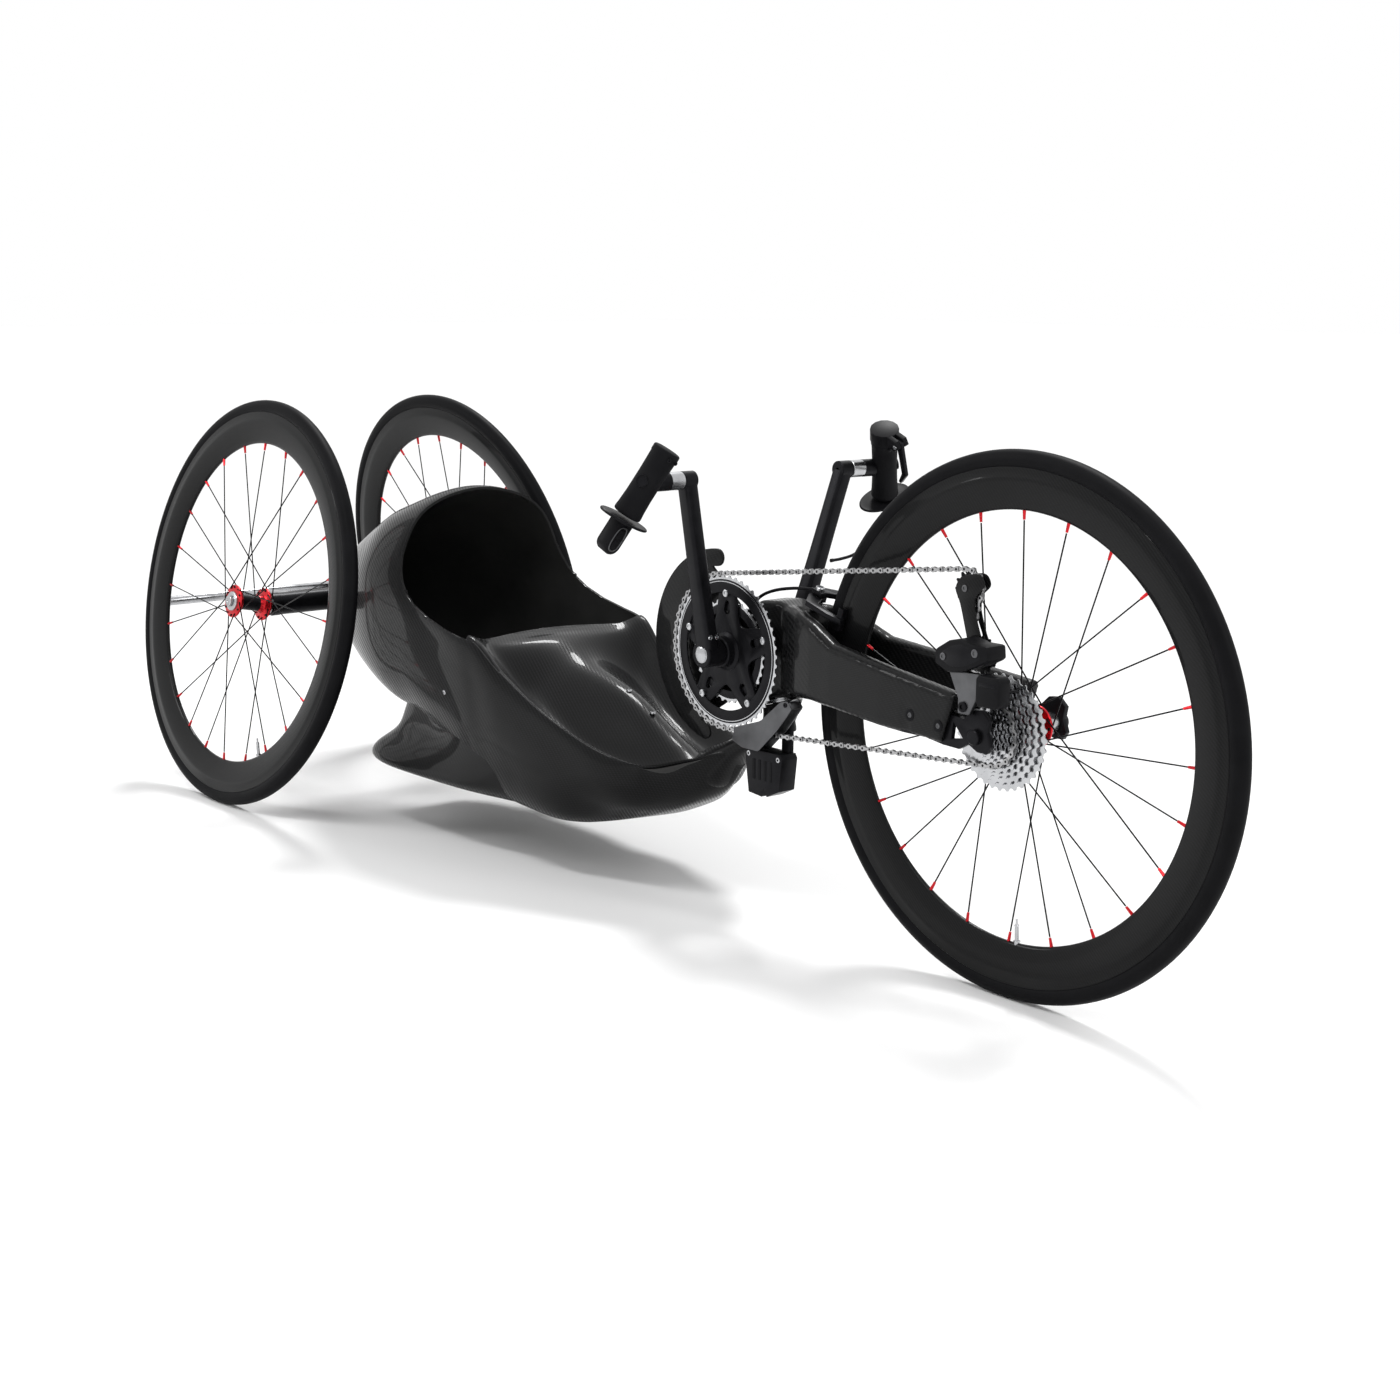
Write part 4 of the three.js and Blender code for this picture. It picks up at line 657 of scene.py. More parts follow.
def wheel_place(joint: str, lean: float, turned: bool) -> Matrix:
    """Moves a piece from a wheel's own frame, with Y outward along its axle, to the drawing.

    Args:
        joint: The joint that the wheel spins on.
        lean: The wheel's lean about X, in degrees.
        turned: Whether the wheel is on the right.
    """
    turn = Matrix.Rotation(math.pi, 4, "Z") if turned else HERE
    return Matrix.Translation(joint_place(joint)) @ Matrix.Rotation(math.radians(lean), 4, "X") @ turn


@dataclass
class Wheel:
    """A wire-spoked wheel: slick tyre, deep rim, crossed spokes with nipples, hub and valve."""

    name: str
    joint: str
    lean: float
    turned: bool
    flanges: tuple[Pair, Pair]
    hub_span: Pair
    end_radius: float
    spoke_nodes: tuple[str, str]
    valve_angle: float
    tube_centre: float = 321.39
    tube_radius: float = 12.5
    tread_rise: float = 0.4
    tread_half: float = 48.0
    rim_outer: float = 314.2
    rim_inner: float = 262.5
    spokes: int = 12
    cross: float = 60.0
    spoke_radius: float = 1.0
    flange_half: float = 3.1
    elbow: float = 3.4
    nipple: float = 15.0
    hole_radius: float = 23.4
    flange_radius: float = 27.0
    barrel_radius: float = 13.0
    bore: float = 6.3
    steps: int = 160

    @property
    def matrix(self) -> Matrix:
        """Moves the wheel from its own frame, with Y outward along its axle, to the drawing."""
        return wheel_place(self.joint, self.lean, self.turned)

    def piece(self, name: str, slot: Slot, finishes: tuple[Finish, ...], replaces: tuple[str, ...] = (),
              sharp: float = 33.0) -> Piece:
        """Describes one of the wheel's pieces, as Piece does, without the wheel's name before each name."""
        return Piece(f"{self.name}_{name}", f"{self.name}_wheel", slot, finishes,
                     tuple(f"{self.name}_{node}" for node in replaces), sharp)

    def build(self) -> None:
        """Makes every piece of the wheel."""
        self.tyre()
        self.rim()
        self.lacing()
        self.hub()
        self.valve()

    def tyre(self) -> None:
        """Makes the tyre: a round casing with a slightly raised tread between its shoulders."""
        shape = bmesh.new()
        points = 40
        profile = []
        for i in range(points):
            angle = FULL_TURN * i / points
            inward = min(angle, FULL_TURN - angle) > math.radians(self.tread_half)
            radius = self.tube_radius - (self.tread_rise if inward else 0)
            profile.append((self.tube_centre + radius * math.cos(angle), radius * math.sin(angle)))
        bored(shape, profile, self.steps, self.matrix)
        self.piece("slick_tyre", Slot.TYRE, (Finish.TYRE,), ("tyre",), 60).make(shape)

    def rim(self) -> None:
        """Makes the deep rim: lips, a brake band and sides that close to a narrow inner edge."""
        depth = self.rim_outer - self.rim_inner
        half = ((0, 0), (0.006, 1.9), (0.03, 3.3), (0.08, 4.3), (0.2, 6.0), (0.36, 7.9), (0.52, 9.4),
                (0.66, 10.2), (0.76, 10.5), (0.77, 10.3), (0.95, 10.3), (0.985, 10.0), (1, 9.2), (0.99, 8.4),
                (0.9, 6.4))
        ring = [(self.rim_inner + share * depth, y) for share, y in half]
        ring += [(radius, -y) for radius, y in reversed(ring[1:])]
        shape = bmesh.new()
        bored(shape, ring, self.steps, self.matrix)
        self.piece("deep_rim", Slot.CARBON, (Finish.FINE_WEAVE,), ("rim",)).make(shape)

    def lacing(self) -> None:
        """Makes the spokes, each from a head in its flange to a nipple at the rim."""
        shape = bmesh.new()
        for flange, share in self.flanges:
            for i in range(self.spokes):
                side = 1 if i % 2 == 0 else -1
                self.spoke(shape, flange, side, FULL_TURN * (i + share) / self.spokes)
        self.piece("spokes", Slot.SPOKE, (Finish.SPOKE, Finish.RED), self.spoke_nodes).make(shape)

    def spoke(self, shape: Shape, flange: float, side: int, angle: float) -> None:
        """Adds one spoke with its elbow, head and nipple.

        Args:
            shape: Where the spoke goes.
            flange: The flange's place along the axle.
            side: Which face of the flange it leaves from, and which way it crosses.
            angle: The angle of its hole in the flange.
        """
        start = polar(self.hole_radius, angle, flange + side * self.flange_half)
        end = polar(self.rim_inner + 3, angle + side * math.radians(self.cross))
        foot = end + (start - end).normalized() * self.nipple
        far = polar(self.hole_radius, angle, flange - side * self.elbow)
        start, foot, end, far = (self.matrix @ point for point in (start, foot, end, far))
        bar(shape, start, foot, self.spoke_radius)
        bar(shape, far, start, self.spoke_radius * 1.15)
        bar(shape, far, far + (start - far).normalized() * 1.2, 1.6, 2.2, 10)
        bar(shape, foot - (foot - end).normalized(), end, 1.7, 2.3, 10, 1)

    def hub(self) -> None:
        """Makes the hub: two anodised flanges, a barrel that flares to each, and end caps."""
        shape = bmesh.new()
        low, high = sorted(flange for flange, _ in self.flanges)
        first, last = self.hub_span
        outer, neck, bore = self.flange_radius, self.barrel_radius, self.bore
        web = ((bore, -2), (outer - 1.4, -2), (outer - 0.4, -1.6), (outer, -0.8), (outer, 0.8),
               (outer - 0.4, 1.6), (outer - 1.4, 2), (outer - 7, 2.2), (neck + 2.4, 4), (neck + 0.6, 7.5),
               (neck, 11), (bore, 11))
        for flange, inward in ((low, 1), (high, -1)):
            bored(shape, [(radius, flange + inward * step) for radius, step in web], 72, self.matrix)
        barrel = ((bore, low + 11), (neck - 0.2, low + 11), (neck - 0.6, low + 12.5),
                  (neck - 0.6, high - 12.5), (neck - 0.2, high - 11), (bore, high - 11))
        bored(shape, barrel, 64, self.matrix, 1)
        rim = self.end_radius
        for start, end, step in ((first, low - 2, 1), (last, high + 2, -1)):
            cap = ((bore, start), (rim - 2.4, start), (rim - 0.8, start + step * 0.6),
                   (rim, start + step * 1.8), (rim, end), (bore, end))
            bored(shape, cap, 64, self.matrix, 2)
        finishes = (Finish.RED, Finish.ANODISED, Finish.SILVER)
        self.piece("flanged_hub", Slot.RED, finishes, ("hub",), 28).make(shape)

    def valve(self) -> None:
        """Makes the valve: a threaded stem with a nut at the rim and a slim tip."""
        shape = bmesh.new()
        angle = math.radians(self.valve_angle)
        for start, end, wide, narrow, sides in ((266, 261.5, 3.6, 3.6, 14), (261.5, 259.5, 4.4, 4.4, 6),
                                                (259.5, 241, 2.6, 2.6, 14), (241, 239, 3.1, 2.0, 14),
                                                (239, 233, 1.4, 1.4, 10)):
            near, far = (self.matrix @ polar(radius, angle) for radius in (start, end))
            bar(shape, near, far, wide, narrow, sides)
        self.piece("valve", Slot.SILVER, (Finish.SILVER,)).make(shape)


@dataclass
class RearAxle:
    """The cambered axle: a tube through the tub, a stub for each wheel, and the safety bar behind."""

    tube_radius: float = 19.0
    tube_bore: float = 16.0
    tube_half: float = 172.0
    camber: float = 10.4
    half_track: float = 215.8
    bar_radius: float = 8.5
    bar_half: float = 205.0
    bar_place: Pair = (-360.0, 284.0)
    arm_radius: float = 6.0
    arm_spread: float = 17.0
    arm_end: Pair = (-27.5, 302.0)

    def build(self) -> None:
        """Makes the tube, both stubs and the bar."""
        self.tube()
        self.stub("rear_left", self.camber, False)
        self.stub("rear_right", -self.camber, True)
        self.safety_bar()

    def tube(self) -> None:
        """Makes the tube, with a thicker sleeve at each end that is cut square to its wheel's axle."""
        slope = math.tan(math.radians(self.camber))
        height = joint_place("rear_left_wheel_spin").z - slope * (self.half_track - self.tube_half)
        half, outer, bore = self.tube_half, self.tube_radius, self.tube_bore
        shape = bmesh.new()
        bored(shape, mirrored([(bore, -half), (outer - 0.8, -half), (outer, -half + 0.8), (outer, -half + 14),
                               (outer - 0.7, -half + 15)]), 64)
        for vert in shape.verts:
            if abs(vert.co.y) > half - 16:
                vert.co.y -= math.copysign(slope * vert.co.z, vert.co.y)
        bmesh.ops.translate(shape, vec=(0, 0, height), verts=shape.verts)
        Piece("axle_tube", "hull", Slot.BLACK, (Finish.ANODISED,), ("rear_axle_tube",)).make(shape)

    def stub(self, wheel: str, lean: float, turned: bool) -> None:
        """Makes one stub axle: a collar against the tube, a pin through the hub and a capped nut.

        Args:
            wheel: The wheel's name.
            lean: Its lean about X, in degrees.
            turned: Whether it is on the right.
        """
        end = -(self.half_track - self.tube_half) / math.cos(math.radians(self.camber)) + SEAT_GAP
        profile = [(0, end), (16.4, end), (17, end + 0.6), (17, end + 2.4), (16.2, end + 3.2), (13.2, -38.4),
                   (6, -38.4), (6, 26.3), (8.2, 26.3), (9, 27), (9, 30.2), (8, 31.3), (4, 31.3), (3.4, 30.4),
                   (0, 30.4)]
        shape = bmesh.new()
        lathe(shape, profile, 56, wheel_place(f"{wheel}_wheel_spin", lean, turned))
        Piece(f"{wheel}_stub", "hull", Slot.SILVER, (Finish.SILVER,), (f"{wheel}_stub_axle",)).make(shape)

    def safety_bar(self) -> None:
        """Makes the bar behind the wheels, with plugged ends, and its two arms."""
        shape = bmesh.new()
        x, z = self.bar_place
        half, radius, arm = self.bar_half, self.bar_radius, self.arm_radius
        profile = mirrored([(0, -half + 1.6), (radius - 2, -half + 1.6), (radius - 1.6, -half),
                            (radius - 0.7, -half), (radius, -half + 1.4)])
        lathe(shape, profile, 48, Matrix.Translation((x, 0, z)))
        for side in (1, -1):
            start = Vector((x, side * self.arm_spread, z))
            end = Vector((self.arm_end[0], side * self.arm_spread, self.arm_end[1]))
            for near, far, wide, narrow in ((0, 1, arm, arm), (0.018, 0.032, arm + 1.4, arm + 0.2),
                                            (0.985, 1, arm + 0.2, arm + 2.6)):
                bar(shape, start.lerp(end, near), start.lerp(end, far), wide, narrow, 40)
        Piece("safety_bar", "hull", Slot.SILVER, (Finish.SILVER,), ("rear_safety_bar",)).make(shape)


TUB_STATIONS: tuple[Station, ...] = (
    (-28, ((0, 285), (22, 288), (36, 310), (37, 335), (32, 354), (18, 370), (0, 374))),
    (20, ((0, 262), (32, 266), (54, 298), (56, 336), (46, 370), (25, 398), (0, 408))),
    (180, ((0, 215), (76, 220), (112, 262), (122, 342), (110, 408), (66, 464), (0, 484))),
    (270, ((0, 190), (92, 196), (135, 248), (149, 345), (141, 420), (97, 488), (0, 513))),
    (372, ((0, 172), (98, 179), (143, 238), (160, 340), (156, 411), (111, 502), (0, 536))),
    (460, ((0, 130), (100, 136), (142, 205), (164, 310), (167, 373), (150, 440), (0, 470))),
    (549, ((0, 100), (112, 106), (146, 180), (166, 290), (168, 346), (125, 341), (0, 336))),
    (585, ((0, 94), (114, 100), (146, 174), (162, 270), (163, 338), (122, 322), (0, 326))),
    (640, ((0, 88), (116, 94), (146, 165), (158, 240), (152, 297), (106, 261), (0, 300))),
    (750, ((0, 87), (112, 93), (136, 147), (141, 206), (138, 240), (92, 200), (0, 268))),
    (860, ((0, 107), (52, 114), (92, 130), (117, 172), (114, 203), (70, 176), (0, 213))),
    (915, ((0, 131), (34, 134), (60, 152), (78, 176), (97, 199), (56, 176), (0, 192))),
    (955, ((0, 152), (20, 159), (38, 178), (54, 197), (66, 210), (36, 200), (0, 206))),
    (982, ((0, 175), (8, 180), (19, 197), (31, 210), (36, 219), (20, 222), (0, 223))),
    (998, ((0, 197), (8, 203), (14, 210), (20, 216), (22, 222), (12, 225), (0, 226))),
)

FOOT_STATIONS: tuple[Station, ...] = (
    (200, ((0, 91.9), (60.1, 93.1), (92, 97), (96, 103), (88, 109.9), (50, 114), (0, 115))),
    (234.9, ((0, 88.1), (85.1, 89), (118, 97), (122, 108), (108.1, 124.1), (60.1, 135.1), (0, 137))),
    (270.1, ((0, 85.9), (95, 87.1), (129.9, 97), (132.1, 109.9), (110.1, 138), (70, 165.1), (0, 169.9))),
    (310, ((0, 85), (100, 85.9), (136, 97.9), (136, 114), (112, 150), (95, 205), (0, 225.1))),
    (399.9, ((0, 85), (105.9, 85.9), (140, 100.1), (140, 120), (122, 165.1), (115, 220.1), (0, 240))),
    (520, ((0, 85.9), (110.1, 88.1), (140, 103.9), (142, 130.1), (140, 180), (138, 220.1), (0, 240))),
    (620, ((0, 87.1), (107.1, 91.9), (126, 109.9), (138, 150), (138, 190.1), (120, 215), (0, 229.9))),
)


def section(half: Sequence[Pair], x: float) -> list[Vector]:
    """Returns the control points of a whole section from its right half, keel first."""
    right = [Vector((x, -y, z)) for y, z in half]
    left = [Vector((x, y, z)) for y, z in reversed(half[1:-1])]
    return right + left


def smooth_rings(stations: Sequence[Station], between: int, round_count: int) -> list[list[Vector]]:
    """Returns smooth rings through some stations.

    Args:
        stations: Each station's place along X and its half section.
        between: How many rings lie in each span.
        round_count: How many points each ring has.

    Returns:
        The rings from rear to front.
    """
    lines = zip(*(section(half, x) for x, half in stations))
    count = (len(stations) - 1) * between + 1
    return [spline(row, round_count, closed=True) for row in zip(*(spline(line, count) for line in lines))]


def contains(ring: Sequence[Vector], y: float, z: float) -> bool:
    """Says whether a point lies inside a ring's outline, seen along X."""
    found = False
    for a, b in zip(ring, [*ring[1:], ring[0]]):
        if (a.z > z) != (b.z > z) and y < (b.y - a.y) * (z - a.z) / (b.z - a.z) + a.y:
            found = not found
    return found


@dataclass
class Hull:
    """The carbon tub: a smooth shell with an open cockpit, a flared foot, a neck and its fittings."""

    wall: float = 4.0
    rim_rounding: float = 1.5
    between: int = 9
    round_count: int = 96
    arch_x: float = 372.0
    edge: tuple[Pair, ...] = (
        (372.0, 440.0), (379.0, 419.0), (390.0, 401.0), (406.0, 386.0), (430.0, 372.0), (470.0, 358.0),
        (520.0, 347.0), (576.0, 338.0))
    front_x: float = 549.0
    set_back: float = 26.0
    cut_margin: float = 30.0
    half_width: float = 169.0
    well_floor: float = 300.0
    foot_middle: float = 240.0
    neck_top: Pair = (1079.0, 303.0)
    neck_radius: float = 28.0
    neck_drop: float = 110.0
    neck_back: float = 124.0
    head_tilt: float = 15.0
    deck_bolts: Pair = (748.0, 803.0)
    flank_bolts: Pair = (505.0, 240.0)
    rings: list[list[Vector]] = field(default_factory=list)

    def build(self) -> None:
        """Makes the tub, its foot, the neck and the small fittings."""
        self.rings = smooth_rings(TUB_STATIONS, self.between, self.round_count)
        self.tub()
        self.foot()
        self.neck()
        self.bearing()
        self.fittings()

    def ring_at(self, x: float) -> list[Vector]:
        """Returns the ring that is nearest to a place along the hull."""
        return min(self.rings, key=lambda ring: abs(ring[0].x - x))

    def edge_height(self, x: float) -> float:
        """Returns the height of the cockpit's side edge at a place along the hull."""
        for (x0, z0), (x1, z1) in zip(self.edge, self.edge[1:]):
            if x <= x1:
                break
        return z0 + (z1 - z0) * (x - x0) / (x1 - x0)

    def front_edge(self, y: float) -> float:
        """Returns where the cockpit's front edge lies at a distance from the middle plane."""
        return self.front_x + self.set_back * (y / self.half_width) ** 2

    def opened(self, face: bmesh.types.BMFace) -> bool:
        """Says whether a face of the tub's skin lies in the cockpit opening."""
        point = face.calc_center_median()
        if not self.arch_x < point.x < self.front_edge(point.y) or point.z < self.well_floor:
            return False
        return point.z > self.edge_height(point.x) or face.normal.z > 0.35

    def cuts(self) -> list[tuple[Vector, Vector, float, float]]:
        """Returns the planes that cut the cockpit's edge, each with the stretch along X that it works on."""
        end = self.edge[-1][0]
        cuts = [(Vector((self.arch_x, 0, 0)), AXIS_X, self.arch_x - self.cut_margin, end + self.cut_margin)]
        for (x0, z0), (x1, z1) in zip(self.edge, self.edge[1:]):
            if x0 > self.arch_x:
                cuts.append((Vector((x0, 0, 0)), AXIS_X, self.arch_x, end))
            cuts.append((Vector((x0, 0, z0)), Vector((z0 - z1, 0, x1 - x0)).normalized(), x0, x1))
        steps = [self.half_width * i / 6 for i in range(-6, 7)]
        for near, far in zip(steps, steps[1:]):
            a, b = (Vector((self.front_edge(y), y, 0)) for y in (near, far))
            normal = Vector((b.y - a.y, a.x - b.x, 0)).normalized()
            cuts.append((a, normal, self.front_x - self.cut_margin, end + self.cut_margin))
        return cuts

    def tub(self) -> None:
        """Makes the tub's skin, cuts the cockpit out along planes, and gives it a wall."""
        shape = bmesh.new()
        loft(shape, self.rings)
        bmesh.ops.recalc_face_normals(shape, faces=shape.faces)
        for place, normal, low, high in self.cuts():
            geometry = set()
            for face in shape.faces:
                middle = face.calc_center_median()
                if low < middle.x < high and middle.z > self.well_floor:
                    geometry.update((face, *face.edges, *face.verts))
            bmesh.ops.bisect_plane(shape, geom=list(geometry), dist=0.001, plane_co=place, plane_no=normal)
        shape.normal_update()
        bmesh.ops.delete(shape, geom=[face for face in shape.faces if self.opened(face)], context="FACES")
        piece = Piece("tub_shell", "hull", Slot.CARBON, (Finish.WEAVE, Finish.INSIDE), ("hull_shell",), 40)
        tub = piece.make(shape)
        wall = tub.modifiers.new("wall", "SOLIDIFY")
        wall.thickness = self.wall * MM
        wall.offset = -1
        # The inner faces take the second finish, whose lighter colour is painted light inside the cockpit.
        wall.material_offset = 1
        wall.use_even_offset = True
        rim = tub.modifiers.new("rim", "BEVEL")
        rim.width = self.rim_rounding * MM
        rim.segments = 3
        rim.limit_method = "ANGLE"
        rim.angle_limit = math.radians(50)

    def foot(self) -> None:
        """Makes the flared foot under the seat, without the faces that lie inside the tub."""
        shape = bmesh.new()
        loft(shape, smooth_rings(FOOT_STATIONS, 10, 88))
        bmesh.ops.recalc_face_normals(shape, faces=shape.faces)
        hidden = []
        for face in shape.faces:
            middle = face.calc_center_median()
            height = (middle.z - self.foot_middle) * 1.04 + self.foot_middle
            if contains(self.ring_at(middle.x), middle.y * 1.07, height):
                hidden.append(face)
        bmesh.ops.delete(shape, geom=hidden, context="FACES")
        Piece("flared_foot", "hull", Slot.CARBON, (Finish.WEAVE,), (), 40).make(shape)

    def neck(self) -> None:
        """Makes the elbow that carries the steering bearing."""
        shares = ((1.12, 1.08, -0.95, 1.1, 1.3), (1, 1, -0.85, 1.1, 1.3), (0.73, 0.745, -0.588, 0.71, 0.95),
                  (0.403, 0.534, -0.34, 0.72, 0.72), (0.117, 0.336, 0.06, 0.93, 0.7),
                  (0.032, 0.191, 0.2, 0.965, 0.75), (0, 0.04, 0.262, 1, 0.9), (0, 0, 0.262, 1, 1))
        x, z = self.neck_top
        turns = [FULL_TURN * i / 48 for i in range(48)]
        rows = []
        for back, down, lean, long, wide in shares:
            middle = Vector((x - self.neck_back * back, 0, z - self.neck_drop * down))
            along = Vector((math.cos(lean), 0, math.sin(lean))) * long
            rows.append([middle + (along * math.cos(turn) + AXIS_Y * math.sin(turn) * wide) * self.neck_radius
                         for turn in turns])
        shape = bmesh.new()
        loft(shape, list(zip(*(spline(line, 50) for line in zip(*rows)))))
        bevelled(shape, 1.2, 3, 60)
        Piece("neck_elbow", "hull", Slot.CARBON, (Finish.WEAVE,), ("steering_neck",)).make(shape)

    def bearing(self) -> None:
        """Makes the lower head bearing's ring, stepped where its seal lies."""
        shape = bmesh.new()
        x, z = self.neck_top
        tilt = Matrix.Rotation(math.radians(-self.head_tilt), 4, "Y")
        matrix = Matrix.Translation((x, 0, z)) @ tilt @ SPUN_TO_Z
        bored(shape, [(14.6, 0.3), (24.4, 0.3), (25, 0.9), (25, 2.8), (24.2, 3.1), (24.2, 3.5), (25, 3.8),
                      (25, 5.7), (24.4, 6.3), (14.6, 6.3)], 64, matrix)
        Piece("bearing_ring", "hull", Slot.SILVER, (Finish.SILVER,)).make(shape)

    def fittings(self) -> None:
        """Makes the small bolts on the flanks and the deck, each seated on the tub's skin."""
        shape = bmesh.new()
        for x in self.deck_bolts:
            top = max((point for point in self.ring_at(x) if abs(point.y) < 8), key=lambda point: point.z)
            bolt_head(shape, Vector((x, 0, top.z)), AXIS_Z, 4.2, 2.4)
        x, z = self.flank_bolts
        for side in (-1, 1):
            flank = [point for point in self.ring_at(x) if point.y * side > 120]
            seat = min(flank, key=lambda point: abs(point.z - z))
            bolt_head(shape, seat, Vector((0, side, -0.15)).normalized(), 3.6, 1.6)
        Piece("deck_bolts", "hull", Slot.SILVER, (Finish.SILVER,)).make(shape)


def softened(node: str, name: str, body: str, slot: Slot, finish: Finish, width: float,
             segments: int = 3) -> None:
    """Makes a piece from a copy of a CAD node whose edges are rounded.

    Args:
        node: The CAD node that the piece replaces.
        name: The piece's name.
        body: The body that it rides on.
        slot: Its material slot.
        finish: Its finish.
        width: The width of its rounded edges.
        segments: How many faces go across an edge.
    """
    Piece(name, body, slot, (finish,), (node,)).make(rounded_copy(node, width, segments))


@dataclass
class FrontUnit:
    """The steered carbon unit: body and legs, dropouts, front axle, crank bearings and chain guard."""

    voxel: float = 2.4
    passes: int = 9
    bolts: tuple[Triple, ...] = ((1388.0, -73.8, 344.0), (1438.0, -77.0, 339.0))
    guard_centre: Pair = (983.5, 367.4)
    guard_radius: float = 134.8
    guard_width: float = 24.0
    guard_span: Pair = (87.0, 262.0)
    guard_depth: Pair = (-32.3, -28.3)
    guard_steps: int = 80
    shell_radius: float = 27.0

    def build(self) -> None:
        """Makes every piece of the unit."""
        unit = Piece("carbon_unit", "steered_unit", Slot.CARBON, (Finish.WEAVE,), ("front_fork",), 80)
        unit.make(remade("front_fork", self.voxel, self.passes))
        for side in ("right", "left"):
            softened(f"dropout_{side}", f"{side}_dropout_plate", "steered_unit", Slot.BLACK,
                     Finish.ANODISED, 0.8)
            self.cup(side)
        self.axle()
        self.guard()
        self.fittings()

    def cup(self, side: str) -> None:
        """Makes one crank bearing's cup, with a stepped face."""
        low, high = node_box(f"bearing_cup_{side}")
        outward = 1 if high.y > 0 else -1
        inner, outer = sorted((low.y, high.y), key=abs)
        profile = [(12.8, inner), (22, inner), (22, outer - outward * 1.2), (21.2, outer - outward * 0.4),
                   (18.6, outer - outward * 0.4), (18, outer), (12.8, outer)]
        shape = bmesh.new()
        bored(shape, profile, 64, across_at(joint_place("crank_spin")))
        node = f"bearing_cup_{side}"
        Piece(f"{side}_bearing_cup", "steered_unit", Slot.SILVER, (Finish.SILVER,), (node,)).make(shape)

    def axle(self) -> None:
        """Makes the front axle: a pin, a nut on the right and a ribbed knob on the left."""
        profile = [(0, -77.3), (8, -77.3), (9, -76.3), (9, -71.3), (6, -71.3), (6, 71.3), (12, 71.3),
                   (12, 74), (11.2, 74.6), (11.2, 76), (12, 76.6), (12, 81.4), (10.6, 83.6), (8, 84.3),
                   (0, 84.3)]
        shape = bmesh.new()
        lathe(shape, profile, 56, Matrix.Translation(joint_place("front_wheel_spin")))
        Piece("axle_pin", "steered_unit", Slot.BLACK, (Finish.ANODISED,), ("front_axle",)).make(shape)

    def guard(self) -> None:
        """Makes the crescent guard beside the chain ring, with a round lobe at each end."""
        start, end = (math.radians(angle) for angle in self.guard_span)
        middle = Vector((self.guard_centre[0], 0, self.guard_centre[1]))
        crank = joint_place("crank_spin")
        inner = self.guard_radius - self.guard_width
        turn = self.guard_width / self.guard_radius
        half = self.guard_width / 2
        lobes = []
        for angle, way in ((end - turn / 2, 1), (start + turn / 2, -1)):
            centre = middle + polar(self.guard_radius - half, angle)
            lobes.append([centre + polar(half, angle + way * math.pi * k / 12) for k in range(13)])
        step = (end - start - turn) / self.guard_steps
        outer = [middle + polar(self.guard_radius, start + turn / 2 + step * i)
                 for i in range(1, self.guard_steps)]
        reach = self.shell_radius * 1.5
        front = flat(((crank.x + reach, crank.z - reach), (crank.x + reach, crank.z + reach)))
        outline = [*outer, *lobes[0], middle + polar(inner, end - turn), *front,
                   middle + polar(inner, start + turn), *reversed(lobes[1])]
        shape = bmesh.new()
        plate(shape, outline, *self.guard_depth, [circle(crank, self.shell_radius + 0.6, 64)], 0, 1.0)
        Piece("ring_guard", "steered_unit", Slot.CARBON, (Finish.WEAVE,), ("chain_guard",)).make(shape)

    def fittings(self) -> None:
        """Makes the bolts that hold the right dropout, with dark washers."""
        shape = bmesh.new()
        for place in self.bolts:
            bolt_head(shape, Vector(place), -AXIS_Y, 7.6, 1.6)
            bolt_head(shape, Vector(place) - AXIS_Y * 0.4, -AXIS_Y, 3.2, 0.9, 1)
        Piece("leg_bolts", "steered_unit", Slot.BLACK, (Finish.PLASTIC, Finish.SATIN)).make(shape)


def pitch_radius(teeth: int) -> float:
    """Returns the radius of the circle that a toothed wheel's chain pins lie on."""
    return CHAIN_PITCH / (2 * math.sin(math.pi / teeth))


def toothed(centre: Vector, teeth: int, phase: float, depth: float = 3.4) -> list[Vector]:
    """Returns the outline of a toothed wheel with narrow tips and round roots.

    Args:
        centre: Its middle.
        teeth: How many teeth it has.
        phase: The angle of one tooth's tip.
        depth: The height of a tooth.
    """
    tip_gap = 1.8
    tip = pitch_radius(teeth) - tip_gap
    step = FULL_TURN / teeth
    flank = ((-0.5, 1.0), (-0.3, 0.93), (-0.2, 0.5), (-0.09, 0.0), (0.09, 0.0), (0.2, 0.5), (0.3, 0.93))
    return [centre + polar(tip - depth * drop, phase + (i + share) * step)
            for i in range(teeth) for share, drop in flank]


@dataclass
class Circle:
    """A toothed wheel that the chain runs round; turn is 1 where it runs anticlockwise seen from the left."""

    centre: Vector
    teeth: int
    turn: int
    y: float

    @property
    def radius(self) -> float:
        """The radius of its pin circle."""
        return pitch_radius(self.teeth)

    def edge(self, heading: float) -> Vector:
        """Returns the place on the pin circle where the chain has a heading."""
        reach = self.radius * self.turn
        return self.centre + Vector((reach * math.sin(heading), 0, -reach * math.cos(heading)))


@dataclass
class Pin:
    """Where one chain pin lies, and the wheel that it lies on."""

    place: Vector
    circle: int | None


